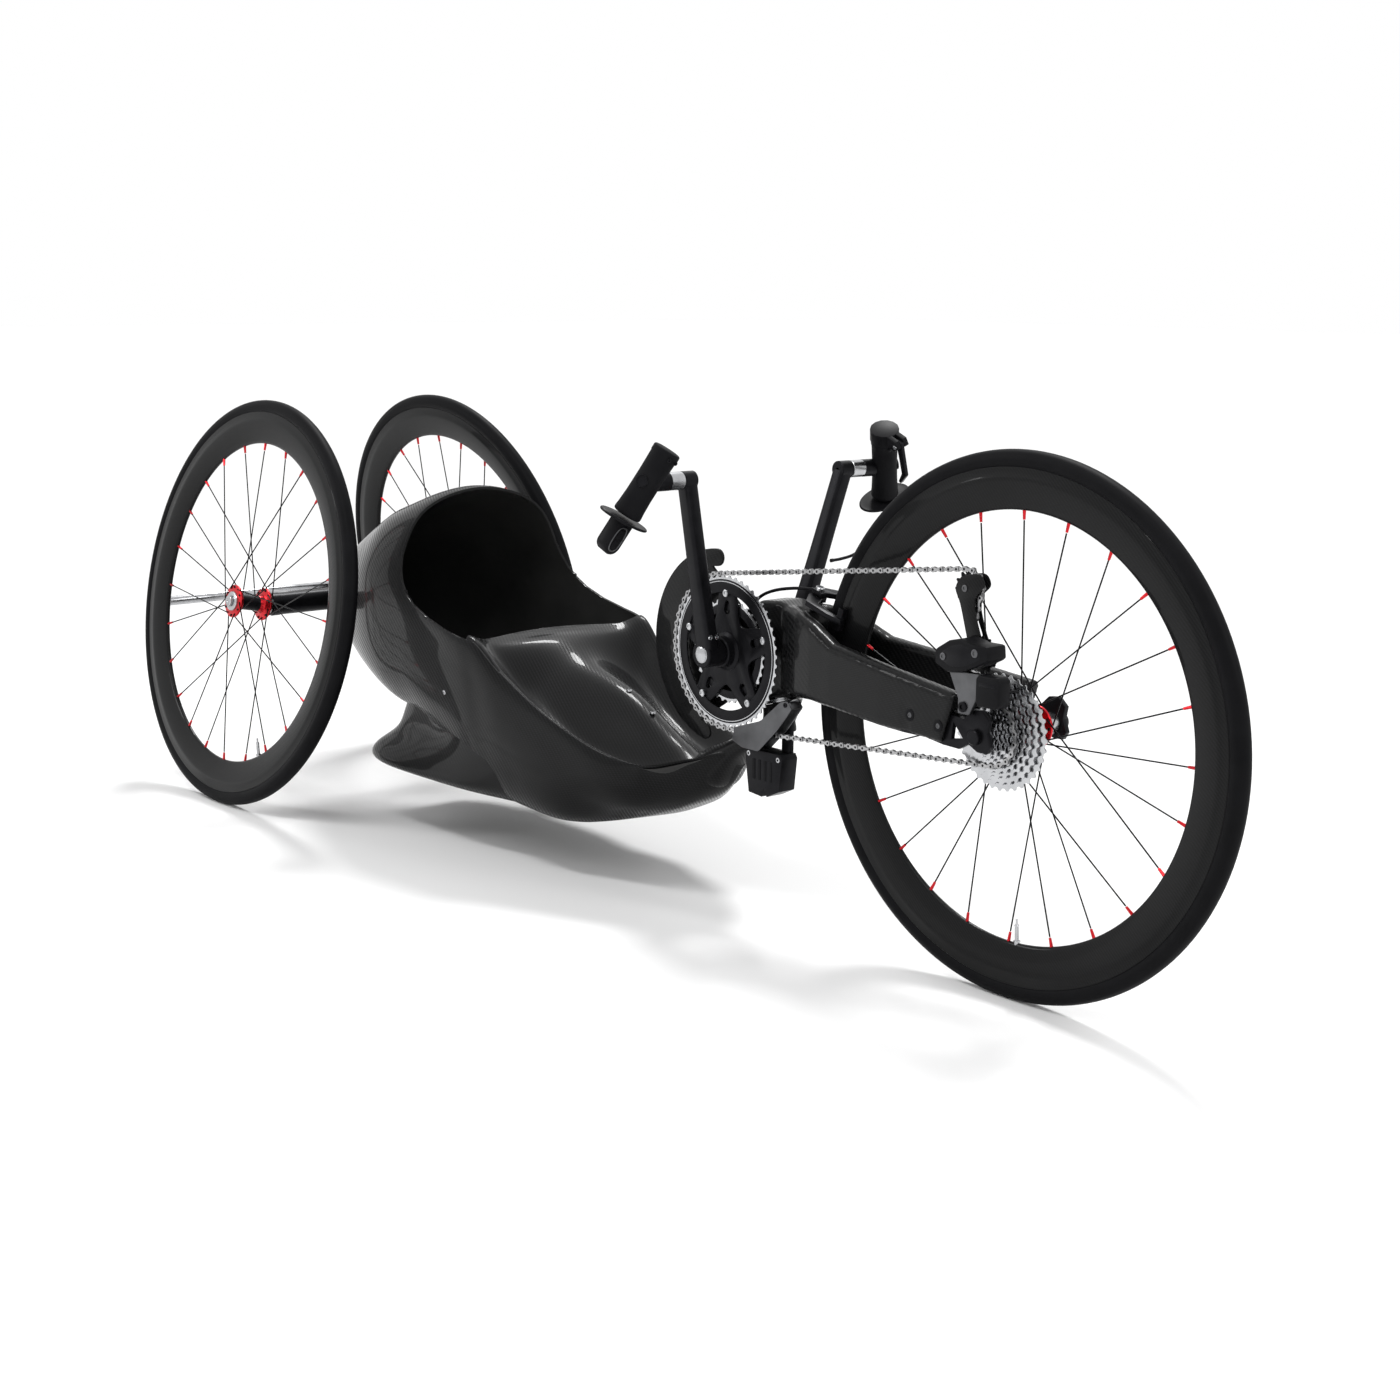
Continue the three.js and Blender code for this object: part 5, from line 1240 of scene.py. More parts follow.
@dataclass
class ChainRoute:
    """The chain's closed route round its toothed wheels."""

    circles: list[Circle]

    def run(self, index: int) -> Pair:
        """Returns the heading and length of the straight run that leaves a wheel."""
        near, far = self.circles[index], self.circles[(index + 1) % len(self.circles)]
        gap = far.centre - near.centre
        distance = math.hypot(gap.x, gap.z)
        change = near.turn * near.radius - far.turn * far.radius
        return math.atan2(gap.z, gap.x) + math.asin(change / distance), math.sqrt(distance**2 - change**2)

    def pins(self) -> list[Pin]:
        """Returns every pin in turn, evenly spaced so that the chain closes."""
        stretches = []
        for i, wheel in enumerate(self.circles):
            arrive = self.run(i - 1)[0]
            leave, length = self.run(i)
            swept = ((leave - arrive) * wheel.turn) % FULL_TURN
            stretches.append(("wrap", i, arrive, swept * wheel.teeth / FULL_TURN))
            stretches.append(("run", i, leave, length / CHAIN_PITCH))
        total = sum(stretch[3] for stretch in stretches)
        count = 2 * round(total / 2)
        return [self.pin_at(stretches, i * total / count) for i in range(count)]

    def pin_at(self, stretches: Sequence[tuple[str, int, float, float]], rest: float) -> Pin:
        """Returns the pin a number of links along the route."""
        for kind, i, heading, links in stretches:
            if rest > links:
                rest -= links
                continue
            wheel = self.circles[i]
            if kind == "wrap":
                place = wheel.edge(heading + wheel.turn * rest * FULL_TURN / wheel.teeth)
                place.y = -wheel.y
                return Pin(place, i)
            far = self.circles[(i + 1) % len(self.circles)]
            place = wheel.edge(heading) + polar(rest * CHAIN_PITCH, heading)
            place.y = -(wheel.y + (far.y - wheel.y) * rest / links)
            return Pin(place, None)
        return self.pin_at(stretches, 0)


@dataclass
class Drivetrain:
    """Chain rings, spider, cassette, chain, and both derailleurs with the battery."""

    outer_teeth: int = 52
    inner_teeth: int = 36
    outer_y: float = 46.0
    inner_y: float = 39.5
    ring_thickness: float = 1.8
    outer_band: float = 20.0
    inner_band: float = 13.0
    cogs: tuple[int, ...] = (36, 32, 28, 25, 22, 19, 17, 15, 13, 12, 11)
    cog_y: float = 26.0
    cog_spacing: float = 3.72
    cog_thickness: float = 1.6
    least_open_cog: int = 24
    engaged: int = 5
    guide_teeth: int = 12
    tension_teeth: int = 11
    spider_arms: int = 5
    spider_reach: float = 88.0
    bolt_circle: float = 79.0
    chain_half: float = 2.45
    cage_gap: float = 4.4
    hanger_bolt: Pair = (-14.0, 35.1)

    def build(self) -> None:
        """Makes every piece of the drive."""
        self.engaged_y = self.cog_y + self.engaged * self.cog_spacing
        self.crank, self.axle, self.guide, self.tension = (
            joint_place(name) for name in ("crank_spin", "front_wheel_spin", "guide_pulley_spin",
                                           "tension_pulley_spin"))
        for place in (self.crank, self.axle, self.guide, self.tension):
            place.y = 0
        self.route = ChainRoute([
            Circle(self.crank, self.outer_teeth, 1, self.outer_y),
            Circle(self.axle, self.cogs[self.engaged], 1, self.engaged_y),
            Circle(self.guide, self.guide_teeth, -1, self.engaged_y),
            Circle(self.tension, self.tension_teeth, 1, self.engaged_y)])
        self.links = self.route.pins()
        self.rings()
        self.spider()
        self.cassette()
        self.chain()
        self.pulleys()
        self.cage()
        self.knuckle()
        self.hanger()
        self.battery()
        self.shift_motor()
        self.shift_cage()

    def tooth_phase(self, index: int) -> float:
        """Returns the angle of a tooth that stands between two of the chain's pins on a wheel."""
        wheel = self.route.circles[index]
        on_wheel = [pin for pin in self.links if pin.circle == index]
        middle = on_wheel[len(on_wheel) // 2].place - wheel.centre
        return math.atan2(middle.z, middle.x) + math.pi / wheel.teeth

    def rings(self) -> None:
        """Makes both chain rings, bright toothed discs with black bands; the outer band has a bright line."""
        half = self.ring_thickness / 2
        place = Matrix.Translation(self.crank)
        for name, teeth, y, band, phase in (
                ("outer", self.outer_teeth, self.outer_y, self.outer_band, self.tooth_phase(0)),
                ("inner", self.inner_teeth, self.inner_y, self.inner_band, 0.0)):
            shape = bmesh.new()
            bore = pitch_radius(teeth) - 5.0 - band
            edge = pitch_radius(teeth) - 7.6
            face = -y - half
            plate(shape, toothed(self.crank, teeth, phase), face, -y + half, [circle(self.crank, bore, 120)])
            bored(shape, [(bore - 0.4, face), (bore - 0.4, face - 0.5), (bore, face - 0.8),
                          (edge - 1.4, face - 0.8), (edge, face - 0.02)], 160, place, 1)
            if name == "outer":
                bored(shape, [(edge - 3.4, face - 0.8), (edge - 3.4, face - 0.95), (edge - 2.4, face - 0.95),
                              (edge - 2.4, face - 0.8)], 160, place)
            finishes = (Finish.SILVER, Finish.ANODISED)
            Piece(f"{name}_ring", "crank", Slot.SILVER, finishes, (f"chainring_{name}",)).make(shape)

    def spider(self) -> None:
        """Makes the five-armed spider, with an opening in each arm, its boss and the ring bolts."""
        low, _ = node_box("spider")
        half = math.pi / self.spider_arms
        reach = self.spider_reach
        arm = ((reach - 4, -0.16), (reach, 0.0), (reach - 4, 0.16), (70, 0.27), (52, 0.44), (46, half),
               (52, 2 * half - 0.44), (70, 2 * half - 0.27))
        slot = ((67, -0.05), (69, 0.0), (67, 0.05), (54, 0.1), (50, 0.0), (54, -0.1))
        angles = [FULL_TURN * i / self.spider_arms + half / 2 for i in range(self.spider_arms)]
        controls = [polar(radius, angle + turn) for angle in angles for radius, turn in arm]
        holes = []
        for angle in angles:
            opening = spline([polar(radius, angle + turn) for radius, turn in slot], 32, closed=True)
            holes.append([self.crank + point for point in opening])
        outline = [self.crank + point for point in spline(controls, 240, closed=True)]
        shape = bmesh.new()
        plate(shape, outline, -44.8, -40.7, holes, 0, 0.6)
        boss = [(12.4, -40.8), (21, -40.8), (21, -44.6), (26, -44.8), (26, -45.6), (21.4, -48), (21, -50),
                (21, -57.6), (19.8, -59.4), (17, low.y + 0.1), (12.4, low.y + 0.1)]
        bored(shape, boss, 64, Matrix.Translation(self.crank))
        for angle in angles:
            seat = self.crank + polar(self.bolt_circle, angle, -47.7)
            bolt_head(shape, seat, -AXIS_Y, 4.6, 1.3, 1)
            bored(shape, [(2.5, -44.9), (5, -44.9), (5, -48), (2.5, -48)], 24, across_at(seat), 1)
        Piece("ring_spider", "crank", Slot.BLACK, (Finish.ANODISED, Finish.SILVER), ("spider",)).make(shape)

    def cassette(self) -> None:
        """Makes the cassette: thinned cogs on a dark carrier, and a lock ring."""
        shape = bmesh.new()
        phase = self.tooth_phase(1)
        half = self.cog_thickness / 2
        for i, teeth in enumerate(self.cogs):
            y = self.cog_y + i * self.cog_spacing
            is_open = teeth >= self.least_open_cog
            bore = pitch_radius(teeth) - 15.5 if is_open else 17.3
            angle = phase if i == self.engaged else phase + i * 0.7
            outline = toothed(self.axle, teeth, angle)
            plate(shape, outline, -y - half, -y + half, [circle(self.axle, bore, 72)])
            if is_open:
                self.cog_arms(shape, bore, y, half)
        low = -(self.cog_y + (len(self.cogs) - 1) * self.cog_spacing)
        place = Matrix.Translation(self.axle)
        carrier = [(15.4, -25.6), (17.4, -25.6), (17.4, low + 0.4), (15.4, low + 0.4)]
        bored(shape, carrier, 48, place, 1)
        lock_ring = [(15.4, low), (18.6, low), (18.6, low - 0.9), (17.6, low - 1.0), (15.4, low - 1.0)]
        bored(shape, lock_ring, 48, place)
        finishes = (Finish.SILVER, Finish.ANODISED)
        Piece("cog_stack", "cassette", Slot.SILVER, finishes, ("cassette",)).make(shape)

    def cog_arms(self, shape: Shape, bore: float, y: float, half: float) -> None:
        """Adds the slanted arms that carry a large cog's ring."""
        arms = 6
        for i in range(arms):
            angle = FULL_TURN * i / arms
            outline = [self.axle + polar(radius, angle + turn)
                       for radius, turn in ((16.8, -0.22), (16.8, 0.22), (bore + 1, 0.34), (bore + 1, 0.2))]
            plate(shape, outline, -y - half * 0.8, -y + half * 0.8, (), 1)

    def chain(self) -> None:
        """Makes the chain: outer and inner side plates in turn, a roller and a riveted pin at each joint."""
        shape = bmesh.new()
        half = self.chain_half
        end = ((-3.4, 0.8), (-2.4, 2.9), (0, 3.5), (2.6, 2.6))
        for i, pin in enumerate(self.links):
            gap = self.links[(i + 1) % len(self.links)].place - pin.place
            span = gap.length
            top = [*end, (span / 2, 1.3), *((span - x, z) for x, z in reversed(end))]
            outline = flat([*((x, -z) for x, z in top), *reversed(top)])
            near, far = (half - 0.85, half) if i % 2 == 0 else (half - 1.7, half - 0.9)
            matrix = Matrix.Translation(pin.place) @ Matrix.Rotation(-math.atan2(gap.z, gap.x), 4, "Y")
            plate(shape, outline, near, far, matrix=matrix)
            plate(shape, outline, -far, -near, matrix=matrix)
            rivet = AXIS_Y * (half + 0.05)
            bar(shape, pin.place - rivet, pin.place + rivet, 1.7, segments=10, material=1)
            roller = AXIS_Y * (half - 1.75)
            bar(shape, pin.place - roller, pin.place + roller, 2.3, segments=12)
        finishes = (Finish.CHAIN, Finish.ANODISED)
        Piece("roller_chain", "steered_unit", Slot.SILVER, finishes, ("chain",)).make(shape)

    def pulleys(self) -> None:
        """Makes both small pulleys."""
        y = -self.engaged_y
        for name, index in (("guide", 2), ("tension", 3)):
            wheel = self.route.circles[index]
            holes = [circle(wheel.centre, 3.3, 32)]
            holes += [circle(wheel.centre + polar(11, FULL_TURN * i / 5), 2.4, 14) for i in range(5)]
            shape = bmesh.new()
            outline = toothed(wheel.centre, wheel.teeth, self.tooth_phase(index), 4.2)
            plate(shape, outline, y - 0.8, y + 0.8, holes)
            node = f"{name}_pulley"
            Piece(f"{name}_wheel", node, Slot.PLASTIC, (Finish.PLASTIC,), (node,)).make(shape)

    def cage(self) -> None:
        """Makes the derailleur's cage: two curved blades, and the axle bolts through the pulleys."""
        shape = bmesh.new()
        along = (self.tension - self.guide).normalized()
        across = Vector((-along.z, 0, along.x))
        length = (self.tension - self.guide).length
        blade = ((-0.16, -0.17), (-0.2, 0.05), (-0.1, 0.17), (0.35, 0.17), (0.8, 0.16), (1.05, 0.18),
                 (1.17, 0.02), (1.12, -0.34), (0.95, -0.38), (0.8, -0.14), (0.3, -0.1))
        opening = ((0.25, -0.01), (0.25, 0.07), (0.5, 0.085), (0.72, 0.06), (0.72, 0.0), (0.5, 0.0))
        outline, hole = (
            spline([self.guide + along * a * length + across * b * length for a, b in shares], count, True)
            for shares, count in ((blade, 110), (opening, 40)))
        gap, y = self.cage_gap, -self.engaged_y
        plate(shape, outline, y + gap, y + gap + 1.8, [hole], 0, 0.5)
        plate(shape, outline, y - gap - 1.8, y - gap, (), 0, 0.5)
        for place in (self.guide, self.tension):
            bar(shape, place + AXIS_Y * (y - gap - 1), place + AXIS_Y * (y + gap + 1), 2.9, segments=28)
            bolt_head(shape, place + AXIS_Y * (y - gap - 1.7), -AXIS_Y, 4.2, 1.2, 1)
        finishes = (Finish.FINE_WEAVE, Finish.SATIN)
        Piece("pulley_cage", "steered_unit", Slot.BLACK, finishes, ("derailleur_cage",)).make(shape)

    def knuckle(self) -> None:
        """Makes the rear derailleur's knuckle with its cover and bolts."""
        low, high = node_box("derailleur_knuckle")
        shares = ((-1.9, -0.5), (-1.9, 0.3), (-0.9, 0.9), (0, 1.1), (0.9, 0.9), (2, 0.9), (2.1, 0.1),
                  (1.2, -0.35), (0.2, -0.75), (-1, -0.9))
        body, cover = ([self.guide + Vector((a * wide, 0, b * tall)) for a, b in shares]
                       for wide, tall in ((21, 21), (15, 14)))
        shape = bmesh.new()
        plate(shape, body, low.y, high.y, (), 0, 3.2)
        plate(shape, cover, low.y, low.y + 2, (), 1, 0.6, Matrix.Translation((1.0, -0.2, 1.0)))
        for x, z, radius in ((24, 9, 5), (-26, -1, 4.4)):
            bolt_head(shape, self.guide + Vector((x, low.y + 0.1, z)), -AXIS_Y, radius, 1.1, 2)
        finishes = (Finish.PLASTIC, Finish.ANODISED, Finish.SATIN)
        Piece("derailleur_body", "steered_unit", Slot.BLACK, finishes, ("derailleur_knuckle",)).make(shape)

    def hanger(self) -> None:
        """Makes the bright link that carries the knuckle, and the bolt through it."""
        softened("derailleur_link", "hanger_link", "steered_unit", Slot.SILVER, Finish.SATIN, 1.4)
        low, _ = node_box("derailleur_link")
        x, z = self.hanger_bolt
        shape = bmesh.new()
        bolt_head(shape, self.axle + Vector((x, low.y + 0.1, z)), -AXIS_Y, 6.4, 2.4)
        Piece("hanger_bolt", "steered_unit", Slot.BLACK, (Finish.ANODISED,)).make(shape)

    def battery(self) -> None:
        """Makes the battery, with a latch near its top."""
        low, high = node_box("derailleur_battery")
        shape = rounded_copy("derailleur_battery", 2.6, 3, 20)
        latch = block(low.x + 6, high.x - 6, high.z - 13, high.z - 9)
        plate(shape, latch, low.y - 0.4, low.y + 1, (), 1, 0.3)
        finishes = (Finish.PLASTIC, Finish.ANODISED)
        Piece("battery_case", "steered_unit", Slot.PLASTIC, finishes, ("derailleur_battery",)).make(shape)

    def shift_motor(self) -> None:
        """Makes the front derailleur's ribbed motor, with its bracket and bolts."""
        node = "front_derailleur_motor"
        low, high = node_box(node)
        shape = rounded_copy(node, 1.6)
        for i in range(4):
            x = low.x + 14 + i * 11
            plate(shape, block(x, x + 6, low.z + 22, low.z + 50), low.y - 0.6, low.y + 1, (), 1, 0.4)
        for x in (low.x + 6, high.x - 8):
            bolt_head(shape, Vector((x, low.y + 1.0, low.z + 55)), -AXIS_Y, 3.6, 1.2, 2)
        finishes = (Finish.ANODISED, Finish.PLASTIC, Finish.SILVER)
        Piece("shift_motor", "steered_unit", Slot.BLACK, finishes, (node,)).make(shape)

    def shift_cage(self) -> None:
        """Makes the front derailleur's cage: two bright plates with eased corners, joined by two blocks."""
        node = "front_derailleur_cage"
        low, high = node_box(node)
        size = high - low
        shares = ((0.17, 0.0), (0.45, 0.0), (0.74, 0.41), (1, 0.88), (0.93, 1), (0.81, 0.96), (0.48, 0.55),
                  (0.03, 0.33), (0, 0.09))
        corners = [Vector((low.x + a * size.x, 0, low.z + b * size.z)) for a, b in shares]
        outline = []
        for before, corner, after in zip(corners[-1:] + corners[:-1], corners, corners[1:] + corners[:1]):
            outline += [corner.lerp(before, 0.12), corner.lerp(before, 0.06)]
            outline += [corner.lerp(after, 0.06), corner.lerp(after, 0.12)]
        shape = bmesh.new()
        for start in (low.y, high.y - 1.5):
            plate(shape, outline, start, start + 1.5, (), 0, 0.4)
        for a, b in ((0.3, 0.0), (0.9, 0.86)):
            x, z = low.x + a * size.x, low.z + b * size.z
            plate(shape, block(x, x + 9, z, z + 9), low.y + 0.7, high.y - 0.7, (), 0, 1.0)
        top = Vector((low.x + 0.9 * size.x, low.y + 0.1, low.z + 0.93 * size.z))
        bolt_head(shape, top, -AXIS_Y, 3.4, 1.4, 1)
        Piece("shift_cage", "front_cage", Slot.SILVER, (Finish.SATIN, Finish.ANODISED), (node,)).make(shape)


@dataclass
class Cranks:
    """Spindle, both crank arms and the pins that the grips turn on."""

    arm_length: float = 238.4
    lean: float = 6.6
    root_y: float = 77.0
    tip_y: float = 139.0
    root_half: float = 15.5
    tip_half: float = 11.0
    depth_half: float = 10.5
    squareness: float = 2 / 4.6
    rows: int = 26
    round_count: int = 40
    boss_span: Pair = (60.3, 90.0)
    eye_half: float = 10.5
    pin_span: Pair = (149.8, 187.6)
    clamp_place: float = 27.0

    def build(self) -> None:
        """Makes every piece of the cranks."""
        profile = mirrored([(0, -88.6), (7, -88.6), (7, -90), (11.2, -90), (12, -89.2)])
        shape = bmesh.new()
        lathe(shape, profile, 56, Matrix.Translation(joint_place("crank_spin")))
        Piece("spindle", "crank", Slot.SILVER, (Finish.SILVER,), ("crank_spindle",)).make(shape)
        for side, name in ((-1, "right"), (1, "left")):
            self.arm(side, name)
            self.pin(side, name)

    def arm(self, side: int, name: str) -> None:
        """Makes one arm: a boss on the spindle, a forged bar that leans outward, and an eye for the pin.

        Args:
            side: 1 on the left and -1 on the right.
            name: The side's name.
        """
        centre = joint_place("crank_spin")
        along = polar(1, math.radians(90 - self.lean))
        across = Vector((along.z, 0, -along.x))
        shape = bmesh.new()
        loft(shape, self.arm_rings(side, centre, along, across))
        place = Matrix.Translation(centre)
        inner, outer = (side * y for y in self.boss_span)
        bored(shape, [(12.3, inner), (17, inner), (18, inner + side), (18, outer - side * 1.6),
                      (16.6, outer - side * 0.2), (12.3, outer - side * 0.2)], 64, place)
        inner, outer = (side * (self.tip_y + y) for y in (-self.eye_half, self.eye_half))
        eye = [(3, inner), (10.8, inner), (12, inner + side * 1.2), (12, outer - side * 1.2), (10.8, outer),
               (3, outer)]
        bored(shape, eye, 48, across_at(joint_place(f"{name}_grip_spin")))
        clamp = centre + along * self.clamp_place + across * (self.root_half - 0.4)
        for step in (-5.5, 5.5):
            seat = Vector((clamp.x, side * (self.root_y + 6) + step, clamp.z))
            bolt_head(shape, seat, across, 3.6, 1.3, 1)
        cap = [(0, side * 91.2), (9, side * 91.2), (10.6, side * 90.4), (10.6, side * 89.9), (0, side * 89.9)]
        lathe(shape, cap, 40, place, 1)
        finishes = (Finish.ANODISED, Finish.SILVER)
        Piece(f"{name}_arm", "crank", Slot.BLACK, finishes, (f"crank_arm_{name}",)).make(shape)

    def arm_rings(self, side: int, centre: Vector, along: Vector, across: Vector) -> list[list[Vector]]:
        """Returns the arm's sections from root to tip, each a rounded rectangle.

        Args:
            side: 1 on the left and -1 on the right.
            centre: The middle of the spindle.
            along: The arm's direction, seen from the side.
            across: The direction square to it.
        """
        rings = []
        for k in range(self.rows + 1):
            share = k / self.rows
            ease = min(1.0, max(0.0, (share - 0.06) / 0.88))
            wide = self.root_half + (self.tip_half - self.root_half) * ease
            wide *= 1 - 0.1 * math.sin(math.pi * ease)
            middle = centre + along * self.arm_length * share
            middle.y = side * (self.root_y + (self.tip_y - self.root_y) * share)
            ring = []
            for i in range(self.round_count):
                x, y = rounded_power(FULL_TURN * i / self.round_count, self.squareness, self.squareness)
                ring.append(middle + across * x * wide + AXIS_Y * y * self.depth_half)
            rings.append(ring)
        return rings

    def pin(self, side: int, name: str) -> None:
        """Makes the pin in the arm's eye that carries the grip."""
        near, far = (side * y for y in self.pin_span)
        shape = bmesh.new()
        lathe(shape, [(0, near), (7, near), (7, far - side), (6, far), (0, far)], 40,
              across_at(joint_place(f"{name}_grip_spin")))
        Piece(f"{name}_pin", "crank", Slot.SILVER, (Finish.SILVER,), (f"grip_pin_{name}",)).make(shape)


@dataclass
class Grips:
    """Both upright grips with their hand guards, the shift pod with its buttons, and the brake lever."""

    middle_y: float = 212.0
    ahead: float = 7.0
    upper: float = 47.0
    lower: float = 51.0
    radius: float = 19.0
    tilt_out: float = 23.0
    tilt_back: float = 23.0
    disc_long: float = 41.0
    disc_short: float = 25.0
    disc_thickness: float = 4.0
    port_turn: float = 112.0
    pod_half: float = 13.0
    pod_depth: float = 10.5
    pod_length: float = 46.0
    ring_middle: float = -78.6
    ring_reach: Pair = (8.4, 17.0)
    ring_power: Pair = (0.7, 0.85)
    ring_radius: float = 1.2

    def build(self) -> None:
        """Makes both sides, then what only one side has."""
        for side, name in ((-1, "right"), (1, "left")):
            self.grip(side, name)
            self.guard(side, name)
        self.pod()
        self.button("upper")
        self.button("lower")
        self.lever()

    def matrix(self, side: int) -> Matrix:
        """Moves a piece from the grip's own frame, upright about its middle, to the drawing.

        Args:
            side: 1 on the left and -1 on the right.
        """
        tip = joint_place("right_grip_spin")
        right = (Matrix.Translation((tip.x + self.ahead, -self.middle_y, tip.z))
                 @ Matrix.Rotation(math.radians(self.tilt_back), 4, "Y")
                 @ Matrix.Rotation(math.radians(-self.tilt_out), 4, "X"))
        return right if side < 0 else Matrix.Scale(-1, 4, AXIS_Y) @ right

    def direction(self, side: int, axis: Vector) -> Vector:
        """Returns where an axis of the grip's own frame points on the drawing."""
        return (self.matrix(side).to_3x3() @ axis).normalized()

    def grip(self, side: int, name: str) -> None:
        """Makes one grip: a ribbed rubber handle with end rings, and the sleeve over its pin.

        Args:
            side: 1 on the left and -1 on the right.
            name: The side's name.
        """
        top, bottom, radius = self.upper, -self.lower, self.radius
        below = [(0, 0), (radius - 2.2, 0), (radius - 0.8, 0.8), (radius - 0.2, 2.4), (radius - 0.2, 9),
                 (radius - 0.9, 10), (radius - 1.2, 20), (radius - 1.6, 38)]
        above = [(radius - 1.5, 30), (radius - 0.7, 12), (radius, 5), (radius, 2.5), (radius - 0.8, 0.8),
                 (radius - 2.6, 0), (radius - 5, 0), (radius - 5.4, 1.2), (0, 1.2)]
        profile = [(wide, bottom + up) for wide, up in below] + [(wide, top - down) for wide, down in above]
        shape = bmesh.new()
        lathe(shape, profile, 96, self.matrix(side) @ SPUN_TO_Z @ Matrix.Scale(-1, 4, AXIS_Y))
        self.port(shape, side)
        place = across_at(joint_place(f"{name}_grip_spin"))
        for start, end, finish in ((150.2, 172, 2), (172, 195, 1)):
            bored(shape, [(7.4, side * start), (11.4, side * start), (12, side * (start + 0.6)),
                          (12, side * (end - 0.3)), (7.4, side * end)], 48, place, finish)
        for step in (-6.5, 6.5):
            seat = self.matrix(side) @ Vector((radius - 0.7, step, top - 5))
            bolt_head(shape, seat, self.direction(side, AXIS_X), 2.6, 1.1, 1)
        finishes = (Finish.GRIP, Finish.ANODISED, Finish.SILVER)
        Piece(f"{name}_handle", f"{name}_grip", Slot.GRIP, finishes, (f"grip_{name}",), 40).make(shape)

    def port(self, shape: Shape, side: int) -> None:
        """Adds the round recess on the grip's side: a lipped ring round a nearly flush disc, painted dark as the
        shade of a deeper recess.

        Args:
            shape: Where it goes.
            side: 1 on the left and -1 on the right.
        """
        face = (self.matrix(side) @ Matrix.Rotation(math.radians(self.port_turn), 4, "Z")
                @ Matrix.Translation((-self.radius + 1.9, 0, 2)) @ Matrix.Rotation(math.pi / 2, 4, "Z"))
        # The disc is black anodised and sits just below the lip; its dark colour is painted shade that stands for
        # the recess's depth.
        bored(shape, [(0, 0.6), (6.6, 0.6), (6.8, 1.3), (7.8, 1.3), (8.2, -0.6), (0, -0.6)], 40, face, 1)

    def guard(self, side: int, name: str) -> None:
        """Makes one oval hand guard with a rolled edge."""
        top = self.lower + SEAT_GAP
        base = top + self.disc_thickness
        profile = [(0, -top), (18, -top), (21.5, -top - 0.4), (24, -top - 0.2), (25, -top - 1.2),
                   (25, -base + 1.2), (24, -base + 0.3), (20, -base), (0, -base)]
        part = bmesh.new()
        lathe(part, profile, 96, SPUN_TO_Z @ Matrix.Scale(-1, 4, AXIS_Y))
        for vert in part.verts:
            vert.co.z = -abs(vert.co.z)
        shape = bmesh.new()
        merge(shape, part, self.matrix(side) @ Matrix.Scale(self.disc_long / self.disc_short, 4, AXIS_Y))
        node = f"hand_guard_{name}"
        Piece(f"{name}_guard_disc", f"{name}_grip", Slot.BLACK, (Finish.PLASTIC,), (node,)).make(shape)

    def pod(self) -> None:
        """Makes the shift pod under the right guard, with a round lower end and a raised satin ring round its
        buttons, whose lighter colour is a painted highlight.
        """
        shape = bmesh.new()
        top = -self.lower - self.disc_thickness - 2 * SEAT_GAP
        middle = Vector((0, 0, top - self.pod_length + self.pod_half))
        outline = flat(((-self.pod_half, top), (self.pod_half, top)))
        outline += [middle + polar(self.pod_half, -math.pi * k / 24) for k in range(25)]
        plate(shape, outline, -self.pod_depth, self.pod_depth, (), 0, 2.6,
              self.matrix(-1) @ Matrix.Rotation(math.pi / 2, 4, "Z"))
        wide, tall = self.ring_reach
        steps = 60
        route = []
        for k in range(steps + 2):
            y, z = rounded_power(FULL_TURN * k / steps, *self.ring_power)
            point = Vector((self.pod_depth - 0.4, y * wide, self.ring_middle + z * tall))
            route.append(self.matrix(-1) @ point)
        # Painted highlight: the ring's satin colour is lighter than the pod and stands for the glints on the
        # buttons.
        tube(shape, route, self.ring_radius, 12, 1)
        finishes = (Finish.PLASTIC, Finish.SATIN)
        Piece("button_pod", "right_grip", Slot.PLASTIC, finishes, ("shifter_pod",)).make(shape)

    def button(self, name: str) -> None:
        """Makes one of the pod's ribbed buttons."""
        node = f"shift_button_{name}"
        shape = rounded_copy(node, 1.3)
        low, high = node_box(node)
        middle = (low + high) / 2
        out, side, up = (self.direction(-1, axis) for axis in (AXIS_X, AXIS_Y, AXIS_Z))
        face = max((vert.co - middle).dot(out) for vert in shape.verts)
        for step in (-2.6, 0, 2.6):
            rib = middle + out * (face - 0.05) + up * step
            bar(shape, rib - side * 3.4, rib + side * 3.4, 0.45)
        Piece(f"{name}_key", f"{name}_button", Slot.GRIP, (Finish.GRIP,), (node,)).make(shape)

    def lever(self) -> None:
        """Makes the brake lever's bracket and blade."""
        shape = rounded_copy("lever_bracket", 1.5, 3, 28)
        side = self.direction(1, AXIS_Y)
        bolt_head(shape, joint_place("brake_lever_pull") + side * 9.9, side, 3.6, 1.2, 1)
        finishes = (Finish.PLASTIC, Finish.SILVER)
        Piece("lever_mount", "left_grip", Slot.BLACK, finishes, ("lever_bracket",)).make(shape)
        softened("brake_lever", "lever_blade", "brake_lever", Slot.BLACK, Finish.ANODISED, 1.6, 4)


